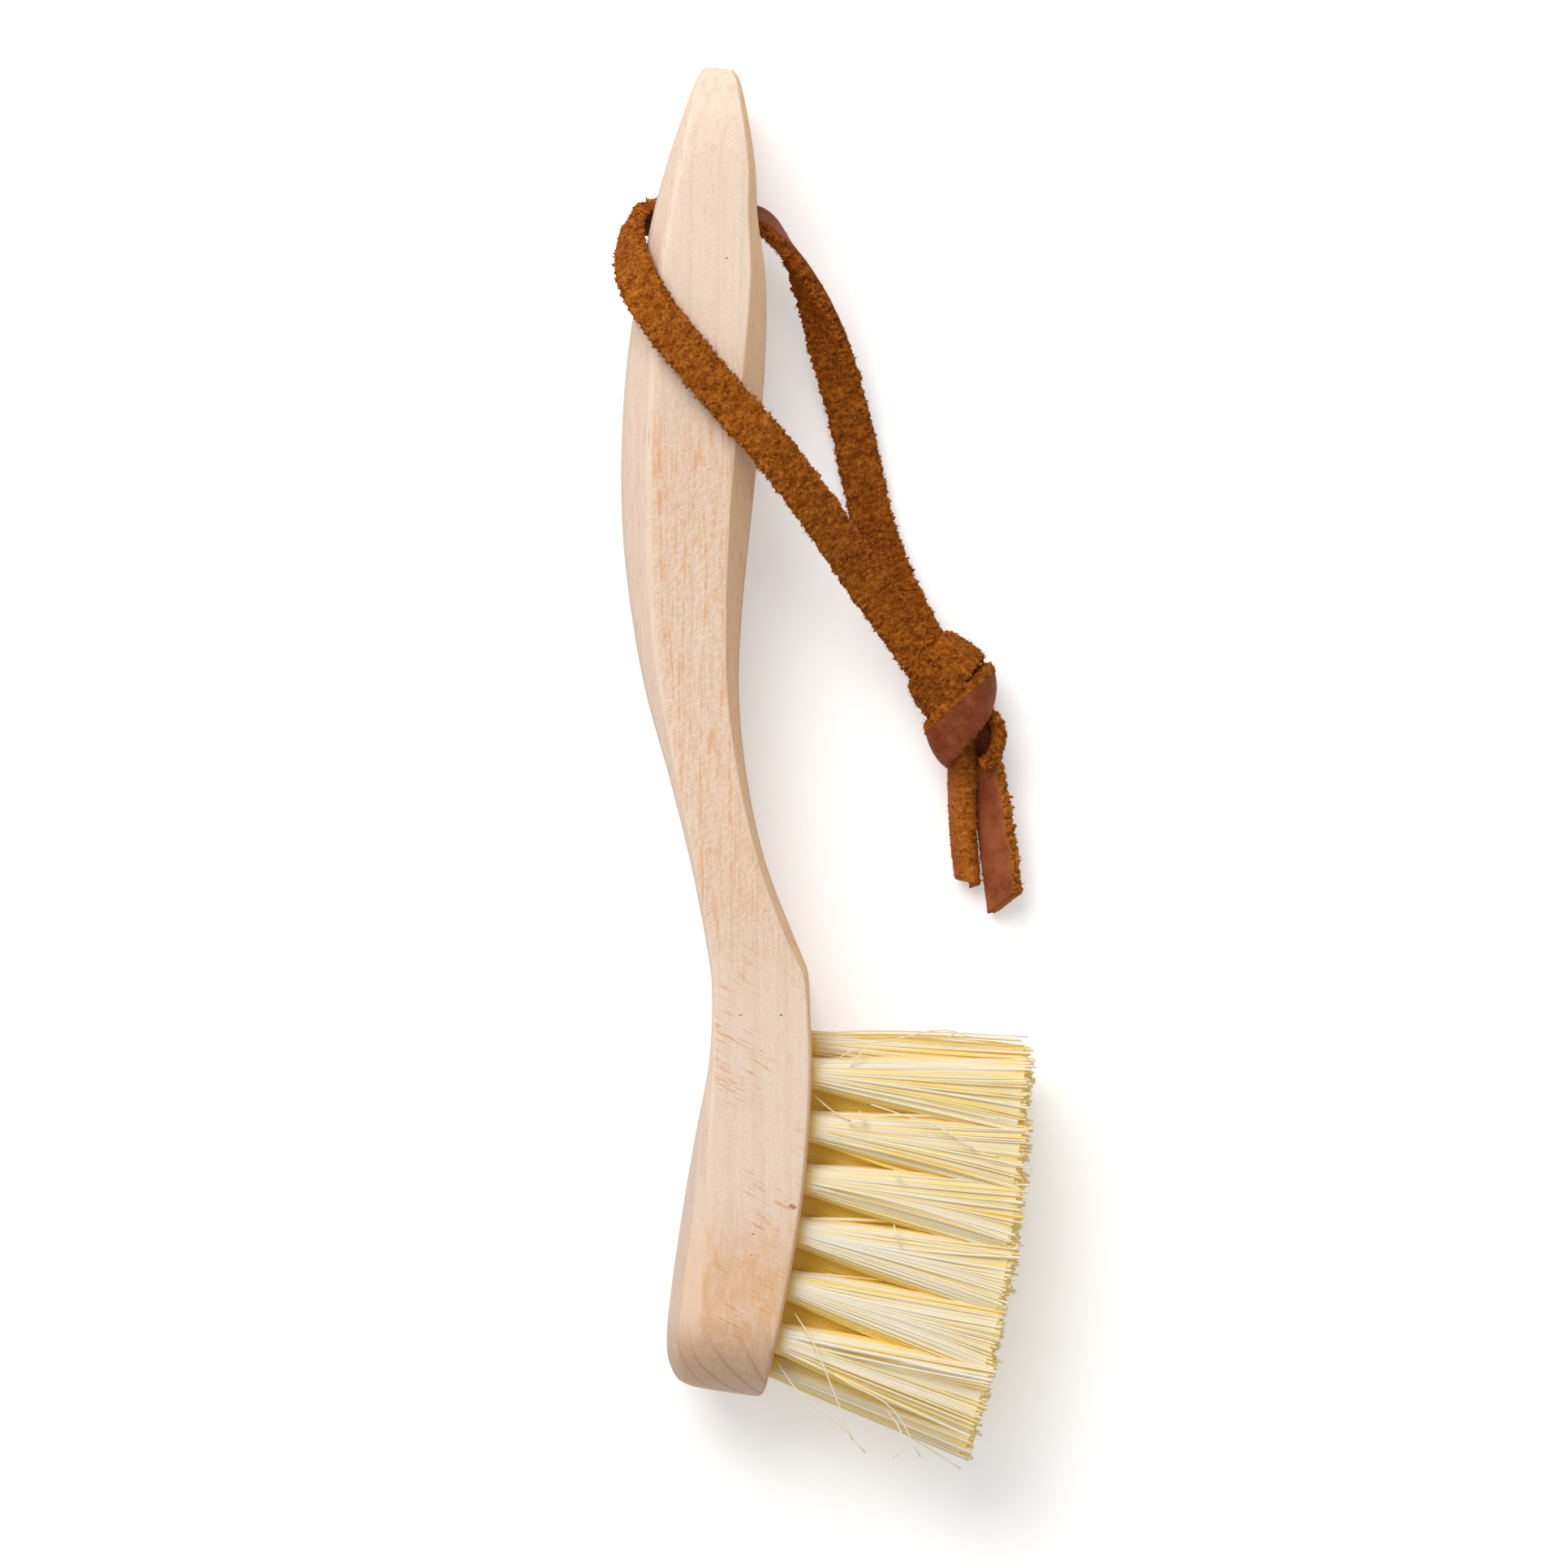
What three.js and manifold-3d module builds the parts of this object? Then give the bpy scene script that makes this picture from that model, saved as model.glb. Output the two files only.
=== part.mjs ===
import * as THREE from 'three';
import { mergeGeometries, mergeVertices } from 'three/addons/utils/BufferGeometryUtils.js';
import Module from 'manifold-3d';

// A small wooden brush for cleaning a waffle iron, lying on its side with its lace beside it.
// X runs from the back of the wood to the bristle tips, Y from the head to the tip of the handle,
// Z up from the surface that it lies on. Lengths are in millimetres and angles in degrees.

// Places along the wood are shares of its length in hundredths, counted from the tip.
const BODY_LENGTH = 157.7;

// Outline of the wood seen from the side: distance in front of the datum line, place along the wood.
// The same row of the two lists is one cross-section.
const BACK_EDGE = [
  [-1.1, 0], [-2.0, 0.95], [-3.9, 4.12], [-5.7, 7.61], [-7.3, 11.41], [-8.7, 15.85], [-10.1, 20.93],
  [-10.9, 27.27], [-10.9, 34.24], [-9.9, 40.58], [-8.1, 46.92], [-5.2, 53.52], [-2.8, 59.61], [-1.1, 65],
  [-0.5, 67.35], [-0.3, 68.2], [-0.2, 71.02], [-0.6, 74.83], [-2.3, 80.53], [-3.9, 86.56], [-5.1, 91.95],
  [-5.6, 95.12], [-5.4, 97.21], [-4.3, 98.67], [-2.9, 99.24],
];
const FRONT_EDGE = [
  [2.3, 0.22], [3.0, 0.95], [4.1, 4.12], [4.9, 7.61], [5.2, 11.41], [6.1, 15.85], [6.1, 20.93],
  [5.4, 27.27], [4.3, 34.24], [3.3, 40.58], [2.9, 46.92], [3.9, 53.52], [6.0, 59.61], [9.2, 65],
  [10.75, 67.35], [11.1, 67.95], [11.4, 71.02], [11.6, 74.83], [11.2, 80.53], [10.1, 86.87], [8.4, 92.77],
  [7.3, 96.13], [6.5, 98.29], [6.0, 99.43], [5.5, 100],
];
const RINGS_PER_ROW = 3;
const FACE_STEPS = 240;

// Width of the blank, and where it is narrowed: at the tip, along the grip and round the toe.
const BLANK_THICKNESS = 20.0;
const TIP_WIDTH = 9.5;
const TIP_ROUNDING = 14.0;
const GRIP_RELIEF = 0.9;
const GRIP_START = 17.8;
const GRIP_END = 66.0;
const TOE_FLAT = 5.0;

// Bevels along the back and the front: place along the wood, width of the bevel seen from the side.
const BACK_BEVEL = [
  [0.0, 0.4], [2.1, 0.5], [6.8, 1.6], [10.5, 2.1], [14.5, 2.3], [21.5, 3.2], [25.6, 3.3], [33.5, 3.2],
  [39.6, 2.7], [44.8, 2.1], [49.4, 1.6], [53.9, 0.9], [60.2, 0.5], [66.6, 0.4], [73.6, 0.4], [79.9, 1.6],
  [86.9, 3.4], [92.6, 3.7], [100.0, 3.7],
];
const FRONT_BEVEL = [
  [0.0, 0.4], [5.1, 0.7], [8.8, 0.9], [12.9, 1.3], [17.4, 2.0], [22.4, 2.5], [27.6, 2.7], [31.9, 2.7],
  [37.6, 2.2], [42.7, 1.7], [46.7, 1.4], [50.9, 1.1], [58.0, 0.8], [61.6, 0.9], [65.6, 1.0], [68.2, 0.7],
  [69.4, 0.4], [100.0, 0.4],
];
const BEVEL_SLOPE = 1.3;
const BEVEL_RISE_LIMIT = 0.7;

// The bevel along the back has two facets, in one plane on the grip and broken on the head: shares of the
// bevel's width and height that the outer one takes, and where along the wood it changes.
const GRIP_FACET = { width: 0.5, height: 0.5 };
const HEAD_FACET = { width: 0.36, height: 0.72 };
const FACET_START = 76.0;
const FACET_END = 88.0;

// Hole for the lace.
const HANG_HOLE_DIAMETER = 6.4;
const HANG_HOLE_BELOW_TIP = 17.7;
const HANG_HOLE_SIDES = 28;

// Tufts: places on the bristle face, how they lean towards the toe, and their fibres.
const FIELD_START = 73.6;
const FIELD_END = 97.4;
const MIDDLE_TUFTS = 7;
const ROW_SPACING = 5.6;
const ROW_STAGGER = 0.5;
const LEAN_START = 5.5;
const LEAN_END = 17.8;
const TUFT_HOLE_DIAMETER = 3.4;
const TUFT_HOLE_DEPTH = 8.4;
const TUFT_HOLE_SIDES = 14;
const TRIM_LENGTH = 25.2;
const TRIM_RAGGEDNESS = 0.35;
const RAGGED_STEP = 137.5;
const ROOT_STANDS_OUT = 1.2;
const STRAND_CIRCLES = [1, 6, 12];
const STRAND_RADIUS = 0.2;
const SPLAY_ALONG = 3.0;
const SPLAY_ACROSS = 2.9;

// Flat wire anchors across the folded tufts.
const ANCHOR_BITE = 0.5;
const ANCHOR_HEIGHT = 1.6;
const ANCHOR_THICKNESS = 0.5;
const ANCHOR_OFF_BOTTOM = 2.2;

// Gaps between pieces that touch.
const HOLE_GAP = 0.3;
const ANCHOR_GAP = 0.3;
const KNOT_GAP = 0.3;

// The lace: its section, and for each stretch the points it runs through and the way its rough side faces.
// Its points are measured from the datum line, and along and up from the middle of the hole.
const LACE_WIDTH = 4.8;
const LACE_THICKNESS = 2.0;
const LACE_CORNER = 0.5;
const LACE_STEPS = 3;
const CURLED_WIDTH = 3.9;
const BACK_LEG = [
  [[-1.2, 0.0, 0.0], [0.0, -0.2, -1.0]],
  [[-4.2, 0.0, 0.0], [0.0, 0.4, -0.9]],
  [[-7.2, 0.1, 0.1], [-0.1, 0.7, -0.7]],
  [[-8.9, -0.1, 1.2], [-0.6, 0.7, -0.3]],
  [[-9.8, -1.8, 3.8], [-0.9, 0.3, 0.2]],
  [[-9.8, -4.7, 7.0], [-0.8, 0.1, 0.6]],
  [[-9.0, -7.7, 9.8], [-0.5, 0.1, 0.9]],
  [[-7.2, -11.0, 11.4], [-0.1, 0.0, 1.0]],
  [[-4.0, -15.3, 11.7], [0.0, 0.0, 1.0]],
  [[1.9, -22.2, 11.6], [0.0, 0.0, 1.0]],
  [[6.6, -27.5, 10.7], [0.0, 0.0, 1.0]],
  [[11.6, -33.9, 7.6], [0.0, 0.0, 1.0]],
  [[16.2, -40.5, 3.2], [0.0, 0.0, 1.0]],
  [[20.6, -46.7, -0.4], [0.1, 0.0, 1.0]],
  [[24.2, -51.6, -2.5], [0.1, 0.0, 1.0]],
  [[27.2, -55.7, -3.4], [0.1, 0.0, 1.0]],
];
const FRONT_LEG = [
  [[-0.9, 0.0, 0.0], [0.0, -0.2, -1.0]],
  [[2.4, 0.0, 0.0], [0.0, -0.7, -0.7]],
  [[5.4, -0.3, 0.0], [0.0, -0.9, -0.4]],
  [[7.7, -2.4, -0.4], [-0.5, -0.8, -0.2]],
  [[9.8, -5.4, -1.4], [-0.8, -0.6, 0.1]],
  [[11.6, -9.1, -3.0], [-0.8, -0.3, 0.5]],
  [[13.3, -13.9, -5.0], [-0.5, -0.1, 0.9]],
  [[15.3, -20.3, -7.0], [-0.2, 0.0, 1.0]],
  [[17.0, -27.3, -8.3], [0.0, 0.0, 1.0]],
  [[18.4, -33.7, -8.6], [0.1, 0.0, 1.0]],
  [[20.1, -39.7, -8.5], [0.1, 0.0, 1.0]],
  [[22.6, -45.5, -7.8], [0.1, 0.0, 1.0]],
  [[25.2, -50.5, -6.6], [0.1, 0.0, 1.0]],
  [[27.7, -54.9, -6.1], [0.1, 0.0, 1.0]],
];
const TAIL_LEFT = [
  [[29.4, -59.5, -4.6], [0.2, 0.0, 1.0]],
  [[29.7, -63.5, -5.0], [0.1, 0.0, 1.0]],
  [[29.6, -68.3, -5.6], [0.0, 0.0, 1.0]],
  [[29.8, -73.9, -6.2], [0.0, 0.0, 1.0]],
  [[30.3, -78.9, -6.5], [0.0, 0.0, 1.0]],
];
const TAIL_RIGHT = [
  [[32.6, -64.1, -6.6], [0.6, 0.0, -0.8]],
  [[33.1, -66.9, -7.0], [0.7, 0.0, -0.7]],
  [[33.5, -69.7, -7.2], [0.7, 0.0, -0.7]],
  [[34.0, -75.7, -7.3], [0.7, 0.0, -0.7]],
  [[34.5, -81.5, -7.4], [0.7, 0.0, -0.7]],
];

// The knot: two wraps of the lace round a core, each wrap a ring with a middle, a heading and two radii,
// and the loop that the right tail comes out of, which stands on its edge.
const KNOT_WRAPS = [
  { middle: [26.9, -54.2, -4.3], heading: -38.0, radii: [3.7, 4.2] },
  { middle: [29.2, -59.3, -4.3], heading: -54.0, radii: [3.6, 4.2] },
];
const KNOT_LOOP = [
  [[31.4, -58.2, -5.4], [0.3, 0.9, 0.0]],
  [[33.4, -59.7, -5.4], [0.9, 0.5, 0.0]],
  [[33.8, -62.0, -5.4], [1.0, -0.1, 0.0]],
  [[32.8, -64.3, -5.4], [0.7, -0.7, 0.0]],
  [[31.7, -64.9, -5.4], [0.3, -0.9, 0.0]],
];
const KNOT_WRAP_STEPS = 24;
const KNOT_CORE_RADIUS = 3.2;
const KNOT_CORE_LENGTH = 8.6;
const KNOT_CORE_SIDES = 20;

const WOOD = { color: 0xe8cdb2, roughness: 0.65, metalness: 0.0 };
const FIBRE = { color: 0xf0e1aa, roughness: 0.7, metalness: 0.0 };
const WIRE = { color: 0xb9b6ae, roughness: 0.35, metalness: 0.9 };
const LEATHER = { color: 0x96551e, roughness: 0.9, metalness: 0.0 };

const wasm = await Module();
wasm.setup();

const middleHeight = BLANK_THICKNESS / 2;
const toeEnd = belowTip((BACK_EDGE.at(-1)[1] + FRONT_EDGE.at(-1)[1]) / 2);
const holeMiddle = new THREE.Vector3(0, -HANG_HOLE_BELOW_TIP, middleHeight);

// Distance below the tip of a place along the wood.
function belowTip(place) {
  return (place / 100) * BODY_LENGTH;
}

function vector(values) {
  return new THREE.Vector3(...values);
}

function lacePoint(values) {
  return vector(values).add(holeMiddle);
}

function solidOf(geometry) {
  const bare = new THREE.BufferGeometry();
  bare.setAttribute('position', geometry.getAttribute('position'));
  bare.setIndex(geometry.index);
  const merged = mergeVertices(bare);
  const vertProperties = Float32Array.from(merged.getAttribute('position').array);
  const triVerts = Uint32Array.from(merged.index.array);
  return new wasm.Manifold(new wasm.Mesh({ numProp: 3, vertProperties, triVerts }));
}

function geometryOf(solid) {
  const mesh = solid.getMesh();
  const geometry = new THREE.BufferGeometry();
  geometry.setAttribute('position', new THREE.BufferAttribute(Float32Array.from(mesh.vertProperties), 3));
  geometry.setIndex(new THREE.BufferAttribute(Uint32Array.from(mesh.triVerts), 1));
  return geometry;
}

// Closed skin through a row of rings that go anticlockwise about the direction of the row.
function loft(rings, closed = false) {
  const sides = rings[0].length;
  const count = rings.length * sides;
  const index = [];
  const spans = closed ? rings.length : rings.length - 1;
  for (let span = 0; span < spans; span += 1) {
    for (let side = 0; side < sides; side += 1) {
      const a = span * sides + side;
      const b = span * sides + ((side + 1) % sides);
      const c = (b + sides) % count;
      const d = (a + sides) % count;
      index.push(a, b, c, a, c, d);
    }
  }
  if (!closed) {
    const last = count - sides;
    for (let side = 1; side + 1 < sides; side += 1) {
      index.push(0, side + 1, side);
      index.push(last, last + side, last + side + 1);
    }
  }
  const geometry = new THREE.BufferGeometry().setFromPoints(rings.flat());
  geometry.setIndex(index);
  return geometry;
}

// Value of a list of places and widths at one place, in a straight line from row to row.
function widthAt(list, place) {
  const after = Math.max(1, list.findIndex(([end]) => end >= place));
  const [start, from] = list[after - 1];
  const [end, to] = list[after];
  return THREE.MathUtils.lerp(from, to, (place - start) / (end - start));
}

function halfWidth(below) {
  const tipShare = 1 - THREE.MathUtils.clamp(below / TIP_ROUNDING, 0, 1);
  const tipCut = (BLANK_THICKNESS - TIP_WIDTH) * 0.5 * (1 - Math.sqrt(1 - tipShare ** 2));
  const intoGrip = (below - belowTip(GRIP_START)) / belowTip(GRIP_END - GRIP_START);
  const gripShare = THREE.MathUtils.clamp(intoGrip, 0, 1);
  const gripCut = GRIP_RELIEF * Math.sin(Math.PI * gripShare) ** 2;
  const toeRadius = BLANK_THICKNESS / 2;
  const toeReach = Math.sqrt(toeRadius ** 2 - (TOE_FLAT / 2) ** 2);
  const intoToe = THREE.MathUtils.clamp(below - toeEnd + toeReach, 0, toeReach);
  const toeCut = toeRadius - Math.sqrt(toeRadius ** 2 - intoToe ** 2);
  return BLANK_THICKNESS / 2 - tipCut - gripCut - toeCut;
}

function edgeCurve(edge) {
  return new THREE.CatmullRomCurve3(edge.map(([front, place]) => vector([front, -belowTip(place), 0])));
}

// One cross-section of the wood: ten corners between the back and the front edge.
function woodRing(back, front) {
  const below = -(back.y + front.y) / 2;
  const half = halfWidth(below);
  const across = front.clone().sub(back).normalize();
  const place = (below / BODY_LENGTH) * 100;
  const backBevel = widthAt(BACK_BEVEL, place);
  const frontBevel = widthAt(FRONT_BEVEL, place);
  const backRise = Math.min(BEVEL_SLOPE * backBevel, half * BEVEL_RISE_LIMIT);
  const frontRise = Math.min(BEVEL_SLOPE * frontBevel, half * BEVEL_RISE_LIMIT);
  const headward = THREE.MathUtils.clamp((place - FACET_START) / (FACET_END - FACET_START), 0, 1);
  const facetWidth = backBevel * THREE.MathUtils.lerp(GRIP_FACET.width, HEAD_FACET.width, headward);
  const facetRise = backRise * THREE.MathUtils.lerp(GRIP_FACET.height, HEAD_FACET.height, headward);
  const corner = (from, inward, height) => {
    const point = from.clone().addScaledVector(across, inward);
    return point.setZ(middleHeight + height);
  };
  return [
    corner(front, 0, frontRise - half),
    corner(front, 0, half - frontRise),
    corner(front, -frontBevel, half),
    corner(back, backBevel, half),
    corner(back, facetWidth, half - backRise + facetRise),
    corner(back, 0, half - backRise),
    corner(back, 0, backRise - half),
    corner(back, facetWidth, backRise - facetRise - half),
    corner(back, backBevel, -half),
    corner(front, -frontBevel, -half),
  ];
}

function woodBlank() {
  const back = edgeCurve(BACK_EDGE);
  const front = edgeCurve(FRONT_EDGE);
  const steps = (BACK_EDGE.length - 1) * RINGS_PER_ROW;
  const rings = [];
  for (let step = 0; step <= steps; step += 1) {
    rings.push(woodRing(back.getPoint(step / steps), front.getPoint(step / steps)));
  }
  return solidOf(loft(rings));
}

// A rod from one place along X to another, round its own X axis.
function rod(radius, from, to, sides) {
  const geometry = new THREE.CylinderGeometry(radius, radius, to - from, sides);
  geometry.rotateZ(-Math.PI / 2);
  geometry.translate((from + to) / 2, 0, 0);
  return geometry;
}

function hangHole() {
  const reach = BLANK_THICKNESS;
  const geometry = rod(HANG_HOLE_DIAMETER / 2, -reach, reach, HANG_HOLE_SIDES);
  geometry.translate(...holeMiddle.toArray());
  return solidOf(geometry);
}

// Where the bristle face is, at a distance below the tip.
function facePoint(below) {
  const places = edgeCurve(FRONT_EDGE).getPoints(FACE_STEPS);
  const after = places.findIndex((place) => -place.y > below);
  const [start, end] = [places[after - 1], places[after]];
  return start.clone().lerp(end, (below + start.y) / (start.y - end.y));
}

// Seats of the tufts: X out along the tuft, Y along the row, Z up.
function tuftSeats() {
  const rows = [
    { name: 'upper', count: MIDDLE_TUFTS - 1, shift: ROW_STAGGER, height: ROW_SPACING },
    { name: 'middle', count: MIDDLE_TUFTS, shift: 0, height: 0 },
    { name: 'lower', count: MIDDLE_TUFTS - 1, shift: ROW_STAGGER, height: -ROW_SPACING },
  ];
  const seats = [];
  for (const row of rows) {
    for (let place = 0; place < row.count; place += 1) {
      const share = (place + row.shift) / (MIDDLE_TUFTS - 1);
      const point = facePoint(belowTip(THREE.MathUtils.lerp(FIELD_START, FIELD_END, share)));
      const lean = THREE.MathUtils.degToRad(THREE.MathUtils.lerp(LEAN_START, LEAN_END, share));
      const matrix = new THREE.Matrix4().makeRotationZ(-lean);
      matrix.setPosition(point.x, point.y, middleHeight + row.height);
      seats.push({ name: `${row.name}_${place + 1}`, matrix });
    }
  }
  return seats;
}

// A flat bar across the tuft, larger by a gap on every side where it cuts its own seat.
function anchorBar(gap) {
  const bar = new THREE.BoxGeometry(
    ANCHOR_HEIGHT + 2 * gap,
    TUFT_HOLE_DIAMETER + 2 * (ANCHOR_BITE + gap),
    ANCHOR_THICKNESS + 2 * gap,
  );
  bar.translate(ANCHOR_OFF_BOTTOM - TUFT_HOLE_DEPTH, 0, 0);
  return bar;
}

function tuftHole() {
  return rod(TUFT_HOLE_DIAMETER / 2, -TUFT_HOLE_DEPTH, TUFT_HOLE_DIAMETER, TUFT_HOLE_SIDES);
}

function strand(y, z, splayed, length) {
  const ends = [
    { out: 0, y, z },
    { out: length, y: splayed.y, z: splayed.z },
  ];
  const rings = ends.map((end) => [0, 1, 2].map((corner) => {
    const turn = (corner * Math.PI * 2) / 3;
    return new THREE.Vector3(
      end.out,
      end.y + STRAND_RADIUS * Math.cos(turn),
      end.z + STRAND_RADIUS * Math.sin(turn),
    );
  }));
  return loft(rings);
}

// All strands of one tuft, fanned out from circles in the root to wider ones at the trim.
function strands(rootRadius) {
  const reach = rootRadius - STRAND_RADIUS;
  const parts = [];
  STRAND_CIRCLES.forEach((count, circle) => {
    const share = circle / (STRAND_CIRCLES.length - 1);
    for (let place = 0; place < count; place += 1) {
      const turn = ((place + circle / 2) * Math.PI * 2) / count;
      const y = share * Math.cos(turn);
      const z = share * Math.sin(turn);
      const splayed = { y: SPLAY_ALONG * y, z: SPLAY_ACROSS * z };
      const ragged = TRIM_RAGGEDNESS * Math.sin(THREE.MathUtils.degToRad(parts.length * RAGGED_STEP));
      parts.push(strand(reach * y, reach * z, splayed, TRIM_LENGTH + ragged));
    }
  });
  return mergeGeometries(parts);
}

function tuft() {
  const rootRadius = TUFT_HOLE_DIAMETER / 2 - HOLE_GAP;
  const root = rod(rootRadius, HOLE_GAP - TUFT_HOLE_DEPTH, ROOT_STANDS_OUT, TUFT_HOLE_SIDES);
  const folded = solidOf(root).subtract(solidOf(anchorBar(ANCHOR_GAP)));
  return geometryOf(folded.add(solidOf(strands(rootRadius))));
}

function handle(seats) {
  let body = woodBlank().subtract(hangHole());
  for (const seat of seats) {
    body = body.subtract(solidOf(tuftHole().applyMatrix4(seat.matrix)));
    body = body.subtract(solidOf(anchorBar(ANCHOR_GAP).applyMatrix4(seat.matrix)));
  }
  return geometryOf(body);
}

// Corners of the lace's section about a point, anticlockwise about the way it runs.
function laceRing(point, along, facing, width, thickness) {
  const rough = facing.clone().addScaledVector(along, -facing.dot(along)).normalize();
  const side = along.clone().cross(rough);
  const high = thickness / 2;
  const wide = width / 2;
  const corners = [
    [high, LACE_CORNER - wide], [high, wide - LACE_CORNER],
    [high - LACE_CORNER, wide], [LACE_CORNER - high, wide],
    [-high, wide - LACE_CORNER], [-high, LACE_CORNER - wide],
    [LACE_CORNER - high, -wide], [high - LACE_CORNER, -wide],
  ];
  return corners.map(([up, out]) => point.clone().addScaledVector(rough, up).addScaledVector(side, out));
}

// The lace along a route.
function laceBand(route, width, thickness) {
  const path = new THREE.CatmullRomCurve3(route.map(([point]) => lacePoint(point)));
  const facings = new THREE.CatmullRomCurve3(route.map(([, facing]) => vector(facing)));
  const steps = (route.length - 1) * LACE_STEPS;
  const rings = [];
  for (let step = 0; step <= steps; step += 1) {
    const share = step / steps;
    const along = path.getTangent(share);
    rings.push(laceRing(path.getPoint(share), along, facings.getPoint(share), width, thickness));
  }
  return solidOf(loft(rings));
}

// A free stretch of the lace, ending where it runs into the knot.
function laceStretch(route, width) {
  return geometryOf(laceBand(route, width, LACE_THICKNESS).subtract(knot(KNOT_GAP)));
}

// One turn of the lace, standing across the way the knot heads.
function knotWrap({ middle, heading, radii }, gap) {
  const turn = THREE.MathUtils.degToRad(heading + 90);
  const across = new THREE.Vector3(Math.cos(turn), Math.sin(turn), 0);
  const rings = [];
  for (let step = 0; step < KNOT_WRAP_STEPS; step += 1) {
    const angle = (step / KNOT_WRAP_STEPS) * Math.PI * 2;
    const out = across.clone().multiplyScalar(Math.cos(angle) * radii[0]);
    out.z = Math.sin(angle) * radii[1];
    const along = across.clone().multiplyScalar(-Math.sin(angle) * radii[0]);
    along.z = Math.cos(angle) * radii[1];
    const point = lacePoint(middle).add(out);
    rings.push(laceRing(point, along.normalize(), out, LACE_WIDTH + 2 * gap, LACE_THICKNESS + 2 * gap));
  }
  return solidOf(loft(rings, true));
}

// The knot, larger by a gap all round where it cuts the stretches that run into it.
function knot(gap) {
  const [first, second] = KNOT_WRAPS;
  const start = lacePoint(first.middle);
  const end = lacePoint(second.middle);
  const heading = end.clone().sub(start).normalize();
  const reach = KNOT_CORE_LENGTH / 2 + gap;
  const core = rod(KNOT_CORE_RADIUS + gap, -reach, reach, KNOT_CORE_SIDES);
  core.rotateZ(Math.atan2(heading.y, heading.x));
  core.translate(...start.lerp(end, 0.5).toArray());
  const loop = laceBand(KNOT_LOOP, LACE_WIDTH + 2 * gap, LACE_THICKNESS + 2 * gap);
  return solidOf(core).add(knotWrap(first, gap)).add(knotWrap(second, gap)).add(loop);
}

function node(name, geometry, finish) {
  const mesh = new THREE.Mesh(geometry, new THREE.MeshStandardMaterial(finish));
  mesh.name = name;
  return mesh;
}

// Moves everything so that the brush without its lace is centred over the origin and stands on it.
function centre(brush, lace) {
  const box = new THREE.Box3();
  for (const mesh of brush) {
    box.expandByObject(mesh);
  }
  const middle = box.getCenter(new THREE.Vector3());
  for (const mesh of [...brush, ...lace]) {
    mesh.geometry.translate(-middle.x, -middle.y, -box.min.z);
    mesh.geometry.computeVertexNormals();
  }
}

function buildBrush() {
  const seats = tuftSeats();
  const brush = [node('handle', handle(seats), WOOD)];
  for (const seat of seats) {
    brush.push(node(`tuft_${seat.name}`, tuft().applyMatrix4(seat.matrix), FIBRE));
    brush.push(node(`anchor_${seat.name}`, anchorBar(0).applyMatrix4(seat.matrix), WIRE));
  }
  const lace = [
    node('lace_back_leg', laceStretch(BACK_LEG, LACE_WIDTH), LEATHER),
    node('lace_front_leg', laceStretch(FRONT_LEG, LACE_WIDTH), LEATHER),
    node('lace_knot', geometryOf(knot(0)), LEATHER),
    node('lace_tail_left', laceStretch(TAIL_LEFT, CURLED_WIDTH), LEATHER),
    node('lace_tail_right', laceStretch(TAIL_RIGHT, LACE_WIDTH), LEATHER),
  ];
  centre(brush, lace);
  const group = new THREE.Group();
  group.name = 'waffle_iron_brush';
  group.add(...brush, ...lace);
  return group;
}

export default buildBrush();
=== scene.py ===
import logging
import math
from dataclasses import dataclass, field
from enum import Enum

import bpy
import numpy as np
from mathutils import Matrix, Vector


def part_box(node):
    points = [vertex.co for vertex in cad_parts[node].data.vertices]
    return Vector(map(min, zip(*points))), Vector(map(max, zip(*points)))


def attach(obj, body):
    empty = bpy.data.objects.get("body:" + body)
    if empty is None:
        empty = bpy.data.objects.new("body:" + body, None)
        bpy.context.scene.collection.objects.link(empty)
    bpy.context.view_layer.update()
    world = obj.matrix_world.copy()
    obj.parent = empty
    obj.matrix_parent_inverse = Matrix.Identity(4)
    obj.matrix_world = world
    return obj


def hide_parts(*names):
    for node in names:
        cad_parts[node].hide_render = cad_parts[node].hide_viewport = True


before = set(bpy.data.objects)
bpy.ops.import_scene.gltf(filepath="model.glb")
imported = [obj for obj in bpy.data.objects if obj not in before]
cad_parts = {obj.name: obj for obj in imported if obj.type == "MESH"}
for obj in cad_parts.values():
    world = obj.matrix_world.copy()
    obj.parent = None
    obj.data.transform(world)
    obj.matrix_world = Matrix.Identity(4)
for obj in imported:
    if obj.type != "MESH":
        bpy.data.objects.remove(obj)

# Looks of a small wooden brush for cleaning a waffle iron, lying on its side with its leather lace.
#
# Shapes are worked out in millimetres in the maker's frame: X in front of the datum line of the wood, Y up
# towards the tip of the handle, which is at 0, and Z up from the table. Meshes are written in metres in the
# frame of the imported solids.

Array = np.ndarray
Pair = tuple[float, float]
Triple = tuple[float, float, float]
Colour = tuple[float, float, float, float]
Zone = tuple[Pair, Pair]
Route = tuple[tuple[Triple, Triple], ...]
Random = np.random.Generator
Piece = bpy.types.Object
Material = bpy.types.Material

MM = 0.001
WHITE: Colour = (1.0, 1.0, 1.0, 1.0)

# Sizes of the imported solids, in millimetres, and the cross-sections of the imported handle.
BLANK_THICKNESS = 20.0
MIDDLE_HEIGHT = BLANK_THICKNESS / 2
BODY_LENGTH = 157.7
HUNDREDTH = BODY_LENGTH / 100
HANG_HOLE_BELOW_TIP = 17.7
HOLE_MIDDLE = np.array([0.0, -HANG_HOLE_BELOW_TIP, MIDDLE_HEIGHT])
LACE_WIDTH = 4.8
PACKED_SECTIONS = 73

# Turn from one strand to the next that fills a disc evenly, as a share of a whole turn.
GOLDEN_TURN = (3 - math.sqrt(5)) / 2

# Lengths and bends below this count as none.
TINY = 1e-4

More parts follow.
